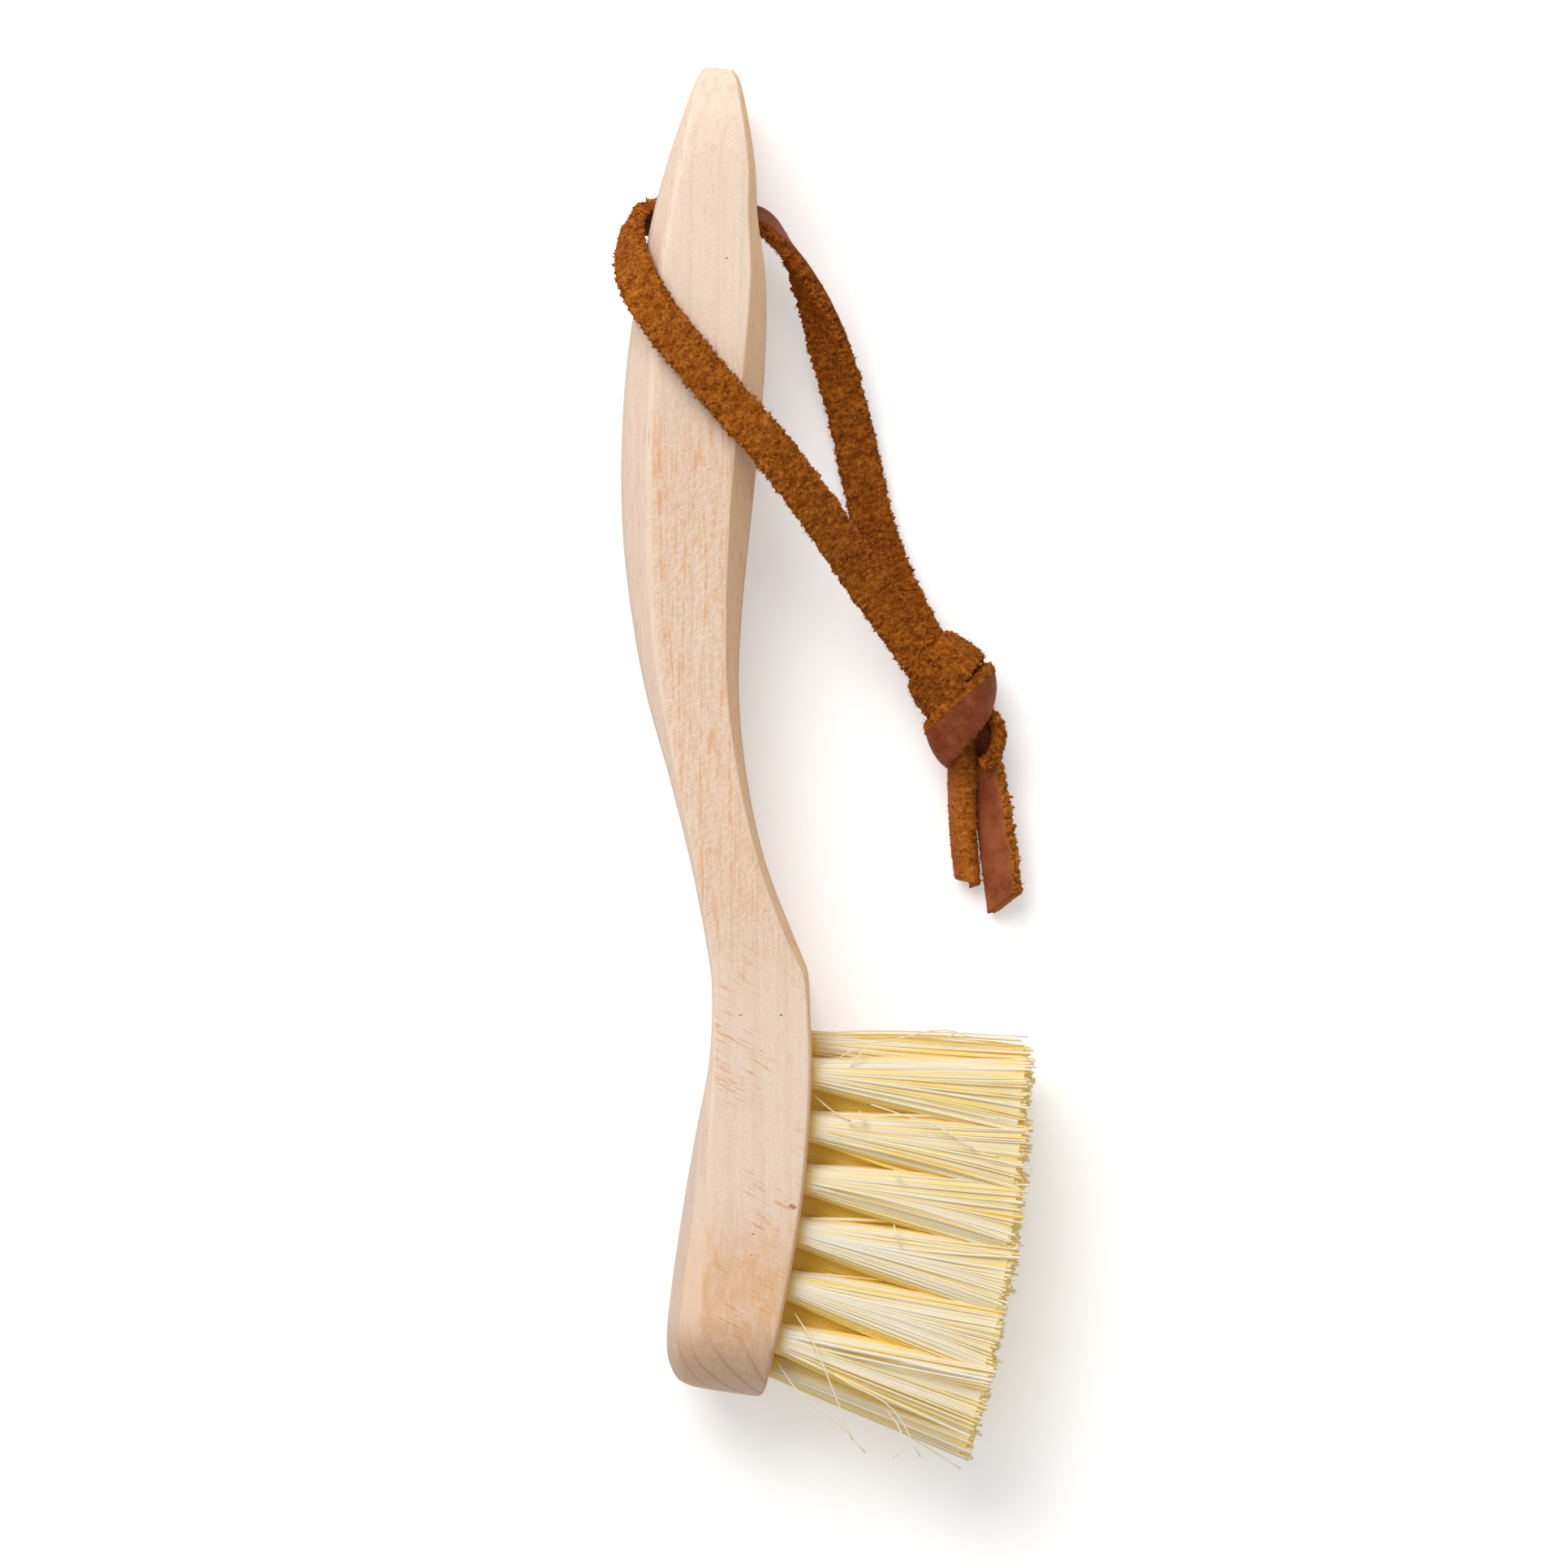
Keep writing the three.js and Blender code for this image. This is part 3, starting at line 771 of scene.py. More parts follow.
        # Warm patches, which are the wood's own colour, and painted shade in the same warm colour on the
        # front bevel.
        warmth_and_front_shade = (self.patch.laid(patch, flat_grip)
                 + flat_grip * sketch.noise(self.cloud) * self.cloud_share
                 + low_head * patch.between(*self.low_patches) * self.low_head_share
                 + self.zone(sketch, self.head_zone) * facing["facet"] * self.facet_share
                 + facing["front"] * self.front_shade_share)
        pits = toe * rings * self.end_ring_share + self.pores.laid(sketch.noise(self.pores), side)
        # Painted shade lies on the front bevel, the back bevels, the steep strip and the toe, and a painted
        # highlight on the ridges.
        colour = sketch.layered(
            self.pale, (grain, self.dark), (warmth_and_front_shade, self.warm),
            (threads * flat_grip * self.thread_share, self.streak),
            (facing["back"] * self.back_shade_share, self.back_bevel_shade), (facing["steep"] * self.steep_shade_share, self.steep_strip_shade),
            (streaks * self.streak_share, self.streak), (facing["ridge"] * self.ridge_highlight_share, self.ridge),
            (self.specks(sketch) * self.speck_share, self.speck), (toe * self.end_grain_and_shade_share, self.end),
            (pits, self.pore),
        )
        relief = (strokes + fine + lines + pebble * flat_grip * self.pebble_rise
                  + threads * self.thread_rise + streaks * self.streak_rise)
        sketch.surface({"Base Color": colour, "Roughness": strokes.ranged(*self.roughness),
                        "Specular IOR Level": self.shine})
        sketch.bump(relief, *self.relief)
        return sketch.material


@dataclass(frozen=True)
class FibreFinish:
    """Stiff pale plant fibre: each strand has its own tone, with painted golden shade in the depth of the
    field and between close strands, and a painted glow there and at the tips.
    """

    gold: Colour = paint(249, 216, 112)  # tone of the darkest strands
    straw: Colour = paint(247, 235, 204)  # tone of most strands
    cream: Colour = paint(245, 241, 232)  # tone of the palest strands
    crevice_shade: Colour = paint(251, 219, 108)  # painted shade: golden tone between strands that lie close, also the colour of the painted glow
    depth: Colour = paint(249, 211, 44)  # painted shade: golden tone inside the field, near the roots and on the lee side
    cut: Colour = paint(255, 246, 216)  # tone of the cut ends
    tone_places: Triple = (0.0, 0.45, 1.0)  # places of gold, straw and cream in the range of tones
    tone_start: float = 0.17  # what is taken off a strand's own tone
    mottle: Pattern = Pattern((160.0, 900.0, 900.0))
    mottle_share: float = 0.35  # how much the mottle changes the tone
    # Where a fibre begins to count as one of these and counts fully: by its depth in the field, by the share
    # of its run towards its root, its cut end and its tip, and by how far it is shut in. Depth, nearness to
    # the root and being shut in set painted golden shade and a painted glow; the tip gets a painted glow.
    deep: Pair = (0.14, 0.55)
    near_root: Pair = (0.95, 0.25)
    cut_end: Pair = (0.985, 0.998)
    glowing_tip: Pair = (0.90, 0.96)
    close: Pair = (0.16, 0.68)
    close_reach: float = 0.0018  # distance in metres within which other strands count as close
    crevice_shade_share: float = 0.9  # how much the painted shade between close strands covers
    depth_shade_share: float = 0.85  # how much the painted shade inside the field covers
    glow: float = 0.05  # painted glow, standing in for light that comes through the fibres inside the field, as a share of full light
    crevice_glow: float = 0.6  # painted glow between close strands, as a share of that
    roughness: float = 0.48
    shine: float = 0.35
    sheen: float = 0.15
    relief: Pair = (0.3, 0.00004)  # how much of the relief shows, and its height in metres

    def material(self) -> Material:
        """Builds the material from the marks tone, run and depth of the strands, with painted golden shade
        and a painted glow.

        Returns:
            The fibre.
        """
        sketch = Sketch("plant_fibre")
        run = sketch.mark("run")
        mottle = sketch.noise(self.mottle)
        shade = mottle * self.mottle_share + (sketch.mark("tone") - self.tone_start)
        strand = sketch.ramp(shade, list(zip(self.tone_places, (self.gold, self.straw, self.cream))))
        # Painted shade inside the field: the depth mark, near the roots.
        inside = sketch.mark("depth").between(*self.deep) * run.between(*self.near_root)
        # Painted shade: golden where other strands shut a point in.
        close = sketch.shut_in(self.close_reach).between(*self.close) * self.crevice_shade_share
        colour = sketch.layered(strand, (inside * self.depth_shade_share, self.depth),
                                (run.between(*self.cut_end), self.cut), (close, self.crevice_shade))
        # Painted glow: emission between close strands, inside the field and at the tips.
        painted_glow = close * self.crevice_glow + inside + run.between(*self.glowing_tip)
        sketch.surface({"Base Color": colour, "Emission Strength": painted_glow * self.glow,
                        "Emission Color": self.crevice_shade, "Roughness": self.roughness,
                        "Specular IOR Level": self.shine, "Sheen Weight": self.sheen,
                        "Sheen Tint": self.straw})
        sketch.material.cycles.emission_sampling = "NONE"
        sketch.bump(mottle, *self.relief)
        return sketch.material


@dataclass(frozen=True)
class LeatherFinish:
    """Leather lace: rough suede on one side and on the cut edges, smooth grain on the other side."""

    suede_dark_and_shade: Colour = paint(76, 33, 6)  # colour in the hollows of the nap: its own darker fibres and painted shade
    suede: Colour = paint(155, 83, 20)  # colour of the nap
    suede_light_and_highlight: Colour = paint(210, 131, 49)  # colour of the raised tips of the nap: its own lighter fibres and a painted highlight
    grain: Colour = paint(134, 66, 36)  # colour of the smooth side
    grain_dark: Colour = paint(100, 46, 24)  # colour of the creases of the smooth side
    grain_worn: Colour = paint(168, 94, 62)  # colour of the smooth side where it is rubbed
    fine: Pattern = Pattern((3400.0, 3400.0, 3400.0), 3.0, 0.65)
    broad: Pattern = Pattern((420.0, 420.0, 420.0), 3.0, 0.6)
    crease_repeats: Triple = (1900.0, 1900.0, 1900.0)  # creases in a metre
    # How much the fine and the broad pattern and the rise of the nap make its shade, and what is added to it.
    # The same patterns raise the relief, so this shade is partly painted shade in the hollows and painted
    # highlight on the raised tips.
    fine_shade: float = 0.74
    broad_shade: float = 0.16
    rise_shade: float = 0.31
    least_shade: float = 0.045
    shade_places: Triple = (0.14, 0.50, 0.98)  # places of the three colours of the nap in the range of shades
    rubbed_rise: float = 0.30  # how much more the raised places are rubbed
    rubbed: Pair = (0.34, 0.96)  # values at which the smooth side begins to be rubbed and is rubbed fully
    creased: Pair = (0.25, 0.75)  # distances from the middle of a cell at which a crease begins and is full
    crease_share: float = 0.5  # how much the creases cover
    crease_sink: float = 0.25  # how far they sink in
    roughness: Pair = (0.62, 0.95)  # of the smooth and of the rough side
    shine: float = 0.10
    sheen: float = 0.10
    relief: Pair = (0.7, 0.00016)  # how much of the relief shows, and its height in metres

    def material(self) -> Material:
        """Builds the material from the marks nap and rise of the lace.

        Returns:
            The leather.
        """
        sketch = Sketch("lace_leather")
        nap = sketch.mark("nap")
        rise = sketch.mark("rise")
        fine = sketch.noise(self.fine)
        broad = sketch.noise(self.broad)
        crease = sketch.cells(self.crease_repeats)
        shade = fine * self.fine_shade + broad * self.broad_shade + rise * self.rise_shade + self.least_shade
        naps = (self.suede_dark_and_shade, self.suede, self.suede_light_and_highlight)
        rough = sketch.ramp(shade, list(zip(self.shade_places, naps)))
        rubbed = (rise * self.rubbed_rise + broad).between(*self.rubbed)
        creases = crease.between(*self.creased) * self.crease_share
        colour = sketch.layered(self.grain, (creases, self.grain_dark), (rubbed, self.grain_worn),
                                (nap, rough))
        sketch.surface({"Base Color": colour, "Roughness": nap.ranged(*self.roughness),
                        "Specular IOR Level": self.shine, "Sheen Weight": self.sheen,
                        "Sheen Tint": self.suede})
        sketch.bump((fine + broad) * nap - crease * self.crease_sink, *self.relief)
        return sketch.material


@dataclass(frozen=True)
class WireFinish:
    """Flat tinned wire of the tuft anchors."""

    tin: Colour = paint(196, 192, 184)  # colour of the wire
    dull: Colour = paint(150, 144, 134)  # colour of the duller patches
    drawn: Pattern = Pattern((900.0, 120.0, 900.0), 3.0)
    metal: float = 0.9
    roughness: float = 0.38
    relief: Pair = (0.2, 0.00002)  # how much of the relief shows, and its height in metres

    def material(self) -> Material:
        """Builds the material.

        Returns:
            The wire.
        """
        sketch = Sketch("tinned_wire")
        drawn = sketch.noise(self.drawn)
        colour = sketch.layered(self.tin, (drawn, self.dull))
        sketch.surface({"Base Color": colour, "Metallic": self.metal, "Roughness": self.roughness})
        sketch.bump(drawn, *self.relief)
        return sketch.material


@dataclass(frozen=True)
class Outline:
    """Outline of the wood seen from the side."""

    # Distance in front of the datum line and place along the wood, in hundredths of its length.
    back: tuple[Pair, ...] = (
        (-1.1, 0.0), (-2.0, 0.95), (-3.9, 4.12), (-5.7, 7.61), (-7.3, 11.41), (-8.7, 15.85), (-10.1, 20.93),
        (-10.9, 27.27), (-10.9, 34.24), (-9.9, 40.58), (-8.1, 46.92), (-5.2, 53.52), (-2.8, 59.61),
        (-1.1, 65.0), (-0.5, 67.35), (-0.3, 68.2), (-0.2, 71.02), (-0.6, 74.83), (-2.3, 80.53),
        (-3.9, 86.56), (-5.1, 91.95), (-5.6, 95.12), (-5.4, 97.21), (-4.3, 98.67), (-2.9, 99.24),
    )
    # The same for the front; equal rows are one cross-section.
    front: tuple[Pair, ...] = (
        (2.3, 0.22), (3.0, 0.95), (4.1, 4.12), (4.9, 7.61), (5.2, 11.41), (6.1, 15.85), (6.1, 20.93),
        (5.4, 27.27), (4.3, 34.24), (3.3, 40.58), (2.9, 46.92), (3.9, 53.52), (6.0, 59.61), (9.2, 65.0),
        (10.75, 67.35), (11.1, 67.95), (11.4, 71.02), (11.6, 74.83), (11.2, 80.53), (10.1, 86.87),
        (8.4, 92.77), (7.3, 96.13), (6.5, 98.29), (6.0, 99.43), (5.5, 100.0),
    )

    def edges(self, shares: Array) -> tuple[Array, Array]:
        """Points of the back and of the front, in the plane of the outline, at shares of their lists."""
        scale = np.array([1.0, -HUNDREDTH])
        return spline_at(np.array(self.back) * scale, shares), spline_at(np.array(self.front) * scale, shares)

    def face_at(self, below: float) -> Array:
        """Place on the front edge at a distance below the tip."""
        _, front = self.edges(np.linspace(0, 1, FACE_SAMPLES))
        return np.array([np.interp(below, -front[:, 1], front[:, 0]), -below])


@dataclass(frozen=True)
class Seat:
    """Where a tuft sits."""

    name: str  # row and number
    base: Array  # middle of its hole on the bristle face
    lean: float  # angle towards the toe in radians

    def turned(self, points: Array) -> Array:
        """Places in the seat's own frame, X out along the tuft, put into the maker's frame.

        Args:
            points: the places.

        Returns:
            The places turned by the lean and moved to the base.
        """
        c, s = math.cos(-self.lean), math.sin(-self.lean)
        x = c * points[..., 0] - s * points[..., 1]
        y = s * points[..., 0] + c * points[..., 1]
        return np.stack([x, y, points[..., 2]], axis=-1) + self.base


@dataclass
class WoodenBody:
    """Handle and head, sawn from one blank, bevelled and drilled."""

    outline: Outline
    seats: list[Seat]  # seats of the tufts, for their holes
    finish: WoodFinish
    tip_width: float = 9.5  # thickness of the tip
    tip_rounding: float = 14.0  # distance below the tip at which the wood has its full thickness
    grip_relief: float = 0.9  # depth of the shallow hollow along either side of the grip
    grip_span: Pair = (28.0, 104.0)  # distances below the tip where that hollow begins and ends
    toe_flat: float = 5.0  # thickness of the end of the toe
    bevel_slope: float = 1.3  # height of a bevel over its width
    bevel_rise_limit: float = 0.7  # greatest height of a bevel, as a share of half the thickness
    # Places along the wood between which the back bevel breaks into two facets.
    facet_span: Pair = (76.0, 88.0)
    # Share of the back bevel's width, at the grip and at the toe, that its outer facet takes.
    outer_facet: Pair = (0.5, 0.36)
    # Share of the back bevel's height, at the grip and at the toe, that its outer facet takes.
    outer_rise: Pair = (0.5, 0.72)
    # How far each ridge is rounded on the grip, from the lower front round to the lower side.
    grip_radii: tuple[float, ...] = (0.35, 0.35, 0.26, 1.10, 1.30, 0.90, 0.90, 1.30, 1.10, 0.26)
    # The same on the head.
    head_radii: tuple[float, ...] = (0.30, 0.30, 0.24, 0.50, 0.40, 0.45, 0.45, 0.40, 0.50, 0.24)
    # Places along the wood between which the ridges change from the first to the second.
    head_start: Pair = (60.0, 74.0)
    ridge_reach: float = 0.45  # greatest share of a face that the rounding of a ridge takes
    ridge_points: int = 6  # points round a ridge
    face_points: int = 5  # points across a face between two ridges
    tip_edge: float = 0.20  # rounding of the edge round the tip
    toe_edge: float = 0.45  # rounding of the edge round the toe
    steps_per_row: int = 20  # cross-sections from one row of the outline to the next
    hang_hole_diameter: float = 6.4  # diameter of the hole for the lace
    tuft_hole_diameter: float = 3.4  # diameter of the holes for the tufts
    tuft_hole_depth: float = 8.4  # their depth
    drill_sides: tuple[int, int] = (48, 24)  # sides of the drills for the lace and for the tufts
    sharp_angle: float = 38.0  # angle in degrees between faces above which their edge shows
    # Place along the wood, in hundredths, and width of the bevel along the back.
    back_bevel: tuple[Pair, ...] = (
        (0.0, 0.4), (2.1, 0.5), (6.8, 1.6), (10.5, 2.1), (14.5, 2.3), (21.5, 3.2), (25.6, 3.3), (33.5, 3.2),
        (39.6, 2.7), (44.8, 2.1), (49.4, 1.6), (53.9, 0.9), (60.2, 0.5), (66.6, 0.4), (73.6, 0.4),
        (79.9, 1.6), (86.9, 3.4), (92.6, 3.7), (100.0, 3.7),
    )
    # The same along the front.
    front_bevel: tuple[Pair, ...] = (
        (0.0, 0.4), (5.1, 0.7), (8.8, 0.9), (12.9, 1.3), (17.4, 2.0), (22.4, 2.5), (27.6, 2.7), (31.9, 2.7),
        (37.6, 2.2), (42.7, 1.7), (46.7, 1.4), (50.9, 1.1), (58.0, 0.8), (61.6, 0.9), (65.6, 1.0),
        (68.2, 0.7), (69.4, 0.4), (100.0, 0.4),
    )

    def half_width(self, below: Array, toe_end: float) -> Array:
        """Half the thickness of the wood.

        Args:
            below: distances below the tip.
            toe_end: distance of the end of the toe.

        Returns:
            Half the blank, less a rounding at the tip, a shallow hollow along the grip and an arc of half
            the blank's thickness round the toe.
        """
        tip_share = 1 - np.clip(below / self.tip_rounding, 0, 1)
        tip_cut = (BLANK_THICKNESS - self.tip_width) / 2 * (1 - np.sqrt(1 - tip_share ** 2))
        grip_cut = self.grip_relief * np.sin(math.pi * share_of(below, *self.grip_span)) ** 2
        reach = math.sqrt(MIDDLE_HEIGHT ** 2 - (self.toe_flat / 2) ** 2)
        into = np.clip(below - toe_end + reach, 0, reach)
        toe_cut = MIDDLE_HEIGHT - np.sqrt(MIDDLE_HEIGHT ** 2 - into ** 2)
        return MIDDLE_HEIGHT - tip_cut - grip_cut - toe_cut

    def corners(self) -> Array:
        """Ten corners of each cross-section, anticlockwise about the way from the tip to the toe.

        Returns:
            Cross-sections by corners by three.
        """
        shares = np.linspace(0, 1, (len(self.outline.back) - 1) * self.steps_per_row + 1)
        back, front = self.outline.edges(shares)
        below = -(back[:, 1] + front[:, 1]) / 2
        half = self.half_width(below, below[-1])
        place = below / HUNDREDTH
        soften = np.hanning(self.steps_per_row + 1)
        soften = soften / soften.sum()
        widths = []
        for bevel in (self.back_bevel, self.front_bevel):
            raw = np.interp(place, *np.array(bevel).T)
            padded = np.pad(raw, self.steps_per_row // 2, mode="edge")
            widths.append(np.convolve(padded, soften, mode="valid"))
        back_width, front_width = widths
        back_rise = np.minimum(self.bevel_slope * back_width, half * self.bevel_rise_limit)
        front_rise = np.minimum(self.bevel_slope * front_width, half * self.bevel_rise_limit)
        headward = share_of(place, *self.facet_span)
        facet = back_width * np.interp(headward, [0, 1], self.outer_facet)
        knee = half - back_rise * (1 - np.interp(headward, [0, 1], self.outer_rise))
        front_high, back_high, flush = half - front_rise, half - back_rise, 0 * half
        across = unit(front - back)
        rows = [
            (front, flush, -front_high), (front, flush, front_high), (front, -front_width, half),
            (back, back_width, half), (back, facet, knee), (back, flush, back_high),
            (back, flush, -back_high), (back, facet, -knee), (back, back_width, -half),
            (front, -front_width, -half),
        ]
        made = [np.column_stack([edge + across * inward[:, None], MIDDLE_HEIGHT + high])
                for edge, inward, high in rows]
        return self.eased(np.stack(made, axis=1), below)

    def eased(self, corners: Array, below: Array) -> Array:
        """Draws the cross-sections in towards both ends, so that the end edges are rounded.

        Args:
            corners: cross-sections by corners by three.
            below: distance of each cross-section below the tip.

        Returns:
            The corners, each pulled towards the middle of its section by a quarter circle's height.
        """
        middle = corners.mean(axis=1, keepdims=True)
        size = np.linalg.norm(corners - middle, axis=2).mean(axis=1)
        pull = np.zeros_like(below)
        for radius, away in ((self.tip_edge, below - below[0]), (self.toe_edge, below[-1] - below)):
            inside = np.clip(radius - away, 0, radius)
            pull += radius - np.sqrt(radius ** 2 - inside ** 2)
        return middle + (corners - middle) * (1 - pull / size)[:, None, None]

    def rounded(self, corners: Array) -> Array:
        """Rings with softened ridges.

        Args:
            corners: cross-sections by corners by three.

        Returns:
            Rings: each corner becomes a short curve that starts and ends on its two edges, and the longer
            edges get points in between.
        """
        following = np.roll(corners, -1, axis=1)
        length = np.linalg.norm(following - corners, axis=2)
        ahead = (following - corners) / np.maximum(length, TINY)[..., None]
        place = -corners[:, :, 1].mean(axis=1, keepdims=True) / HUNDREDTH
        headward = share_of(place, *self.head_start)
        wanted = np.array(self.grip_radii) * (1 - headward) + np.array(self.head_radii) * headward
        reach_on = np.minimum(wanted, self.ridge_reach * length)
        reach_back = np.minimum(wanted, self.ridge_reach * np.roll(length, 1, axis=1))
        start = corners - np.roll(ahead, 1, axis=1) * reach_back[..., None]
        end = corners + ahead * reach_on[..., None]
        turn = np.linspace(0, 1, self.ridge_points)[None, None, :, None]
        curve = ((1 - turn) ** 2 * start[:, :, None] + 2 * turn * (1 - turn) * corners[:, :, None]
                 + turn ** 2 * end[:, :, None])
        fill = np.linspace(0, 1, self.face_points + 2)[1:-1][None, None, :, None]
        straight = end[:, :, None] * (1 - fill) + np.roll(start, -1, axis=1)[:, :, None] * fill
        return np.concatenate([curve, straight], axis=2).reshape(len(corners), -1, 3)

    def cutter(self, datum: Datum) -> Piece:
        """Drills for the lace and the tufts.

        Args:
            datum: place of the maker's frame.

        Returns:
            One object with all the drills.
        """
        lace_sides, tuft_sides = self.drill_sides
        along = np.array([-BLANK_THICKNESS, BLANK_THICKNESS])
        path = np.stack([np.column_stack([along, 0 * along, 0 * along]) + HOLE_MIDDLE])
        lace_drill = tubes(path, np.full((1, 2), self.hang_hole_diameter / 2), lace_sides, {})
        out = np.array([-self.tuft_hole_depth, self.tuft_hole_diameter])
        own = np.column_stack([out, 0 * out, 0 * out])
        paths = np.stack([seat.turned(own) for seat in self.seats])
        tuft_drills = tubes(paths, np.full((len(paths), 2), self.tuft_hole_diameter / 2), tuft_sides, {})
        drills = lace_drill.joined(tuft_drills)
        return drills.piece("drills", datum, bpy.data.materials.new("drill"))

    def build(self, datum: Datum) -> Piece:
        """Builds the drilled wood.

        Args:
            datum: place of the maker's frame.

        Returns:
            The piece.
        """
        rings = self.rounded(self.corners())
        rows, columns, _ = rings.shape
        skin = Skin(rings.reshape(-1, 3), [grid_faces(rows, columns), *end_faces(rows, columns)])
        material = self.finish.material()
        wood = skin.piece("wooden_body", datum, material)
        drills = self.cutter(datum)
        cut = wood.modifiers.new("drilled", "BOOLEAN")
        cut.operation = "DIFFERENCE"
        cut.solver = "EXACT"
        cut.object = drills
        ready = wood.evaluated_get(bpy.context.evaluated_depsgraph_get())
        drilled = bpy.data.meshes.new_from_object(ready)
        wood.modifiers.clear()
        wood.data = drilled
        bpy.data.objects.remove(drills)
        drilled.materials.clear()
        drilled.materials.append(material)
        drilled.polygons.foreach_set("use_smooth", np.ones(len(drilled.polygons), dtype=bool))
        drilled.set_sharp_from_angle(angle=math.radians(self.sharp_angle))
        return self.dress(wood)

    def dress(self, wood: Piece) -> Piece:
        """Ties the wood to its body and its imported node.

        Args:
            wood: the piece.

        Returns:
            The same piece.
        """
        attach(wood, Body.BRUSH.value)
        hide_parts("handle")
        log.info("wood: %d faces", len(wood.data.polygons))
        return wood


@dataclass
class TuftField:
    """Nineteen tufts in three staggered rows, and the anchors at their roots."""

    outline: Outline
    finish: FibreFinish
    # Places of the first and the last tuft along the wood, in hundredths of its length.
    field_span: Pair = (73.6, 97.4)
    middle_tufts: int = 7  # tufts in the middle row; each of the others has one less
    row_spacing: float = 5.6  # distance between the rows
    # Shift of the outer rows along the wood, as a share of the distance between tufts.
    row_stagger: float = 0.5
    lean_range: Pair = (6.6, 17.8)  # lean of the first and the last tuft towards the toe, in degrees
    lean_jitter: float = 1.0  # how much the tufts differ in lean, in degrees
    first_seed: int = 400  # seed of the first tuft's unevenness; each tuft has the next
    strands: int = 190  # strands in a tuft
    strand_radius: Pair = (0.16, 0.34)  # least and most radius of a strand
    sides: int = 4  # sides of a strand
    # Places along a strand that carry its rings.
    stations: tuple[float, ...] = (0.0, 0.12, 0.26, 0.42, 0.60, 0.80, 0.995, 1.0)
    thinning: float = 0.40  # share of its thickness that a strand loses towards its end
    sunk: Pair = (0.45, 0.92)  # least and most depth of a strand in the tuft, as a share of its radius
    least_reach: float = 0.1  # share of its distance from the middle that a sunk strand keeps at least
    root_radius: float = 1.62  # radius of the bundle where it leaves its hole
    root_depth: float = 2.6  # length of the strands inside the hole
    outer_share: float = 0.68  # share of the strands that lie on the outside of the tuft
    outer_reach: Pair = (0.99, 1.01)  # how far out those lie, as shares of the tuft's width
    inner_reach: float = 0.9  # how far out the others lie at most
    trim: float = 25.2  # length of the strands outside the wood
    trim_slack: float = 0.1  # length that the shortest full strand lacks
    ragged: float = 0.46  # unevenness of the trim
    full_share: float = 0.93  # share of the strands that aren't cut short
    short_by: Pair = (0.5, 3.5)  # least and most length that the others lack
    cut_edge: float = 0.05  # width of the edge round a cut end
    run_before_cut: float = 0.98  # greatest share of its length at which a strand doesn't yet count as cut
    splay: Pair = (2.85, 1.65)  # how many times wider the bundle is at the trim, along the row and across it
    end_splay: Pair = (1.45, 2.4)  # the same along the row for the first and the last tuft of the middle row
    middle_splay: Pair = (3.1, 4.0)  # the same for the middle row, which fills the room between the others
    # How the splay grows along a strand, in both directions; below 1 most of it comes early.
    splay_power: Pair = (0.85, 0.5)
    # How square a tuft's section becomes at the trim, as a power of the circle's sine and cosine.
    squared: float = 0.50
    spread: float = 0.13  # how far a strand strays from its place at the trim
    loose_share: float = 0.06  # share of loose strands
    loose_spread: float = 1.1  # how far those stray
    bow: float = 0.4  # bow of a strand, as a share of how far it strays
    golden_share: float = 0.22  # share of golden strands among the pale ones
    tones: Pair = (0.30, 0.74)  # tone of the golden and of the pale strands
    tone_spread: float = 0.16  # how much strands differ in tone
    # Short strands that fill the trimmed face of a tuft, for each time that the face is as wide as the hole.
    stubs: float = 70.0
    stub_length: float = 2.4  # their length
    stub_reach: float = 0.92  # how far out they lie at most, as a share of the tuft's width
    stub_ragged: float = 0.4  # their unevenness, as a share of that of the trim
    stub_size: float = 0.7  # their thickness, as a share of a strand's
    stub_tone: Pair = (0.55, 0.26)  # their middle tone and how much they differ
    stub_run: Triple = (0.94, 0.97, 1.0)  # places along a strand that their three rings stand for
    core_size: float = 0.99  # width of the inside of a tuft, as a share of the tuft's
    core_length: float = 0.988  # its length outside the wood, as a share of the trim
    core_grid: tuple[int, int] = (18, 96)  # cross-sections of the inside, and points in each
    core_groove: float = 0.07  # depth of the grooves between its strands
    core_waves: int = 3  # how often its grooves and tones change along its length
    core_tone: Pair = (0.26, 0.22)  # its middle tone, golden so that it shows as painted shade between the strands, and how much its grooves differ
    core_run: float = 0.95  # place along a strand that its end stands for
    # The depth these set gives painted golden shade and a painted glow in the fibre's finish.
    open_depth: float = 0.25  # how far inside the two open ends count as lying, as a share
    deep_reach: float = 7.5  # distance from the middle plane at which strands no longer count as inside
    lee_shade_depth: float = 0.50  # painted shade on the side towards the head's end, away from the lamp: how far inside its strands count as lying
    # Least height of a strand, and height below which strands are eased up to it.
    table_room: Pair = (0.15, 0.6)
    room_above: float = 0.6  # how far above the wood a strand comes at most

    def seats(self) -> list[Seat]:
        """Seats of all the tufts.

        Returns:
            The seats, row by row.
        """
        rows = (("upper", self.middle_tufts - 1, self.row_stagger, self.row_spacing),
                ("middle", self.middle_tufts, 0.0, 0.0),
                ("lower", self.middle_tufts - 1, self.row_stagger, -self.row_spacing))
        made = []
        for row, count, shift, height in rows:
            for number in range(count):
                share = (number + shift) / (self.middle_tufts - 1)
                below = np.interp(share, [0, 1], self.field_span) * HUNDREDTH
                x, y = self.outline.face_at(float(below))
                lean = math.radians(np.interp(share, [0, 1], self.lean_range))
                made.append(Seat(f"{row}_{number + 1}", np.array([x, y, MIDDLE_HEIGHT + height]), lean))
        return made

    def open_ends(self) -> tuple[str, str]:
        """Names of the two seats at the ends of the middle row, which no other row covers."""
        return ("middle_1", f"middle_{self.middle_tufts}")

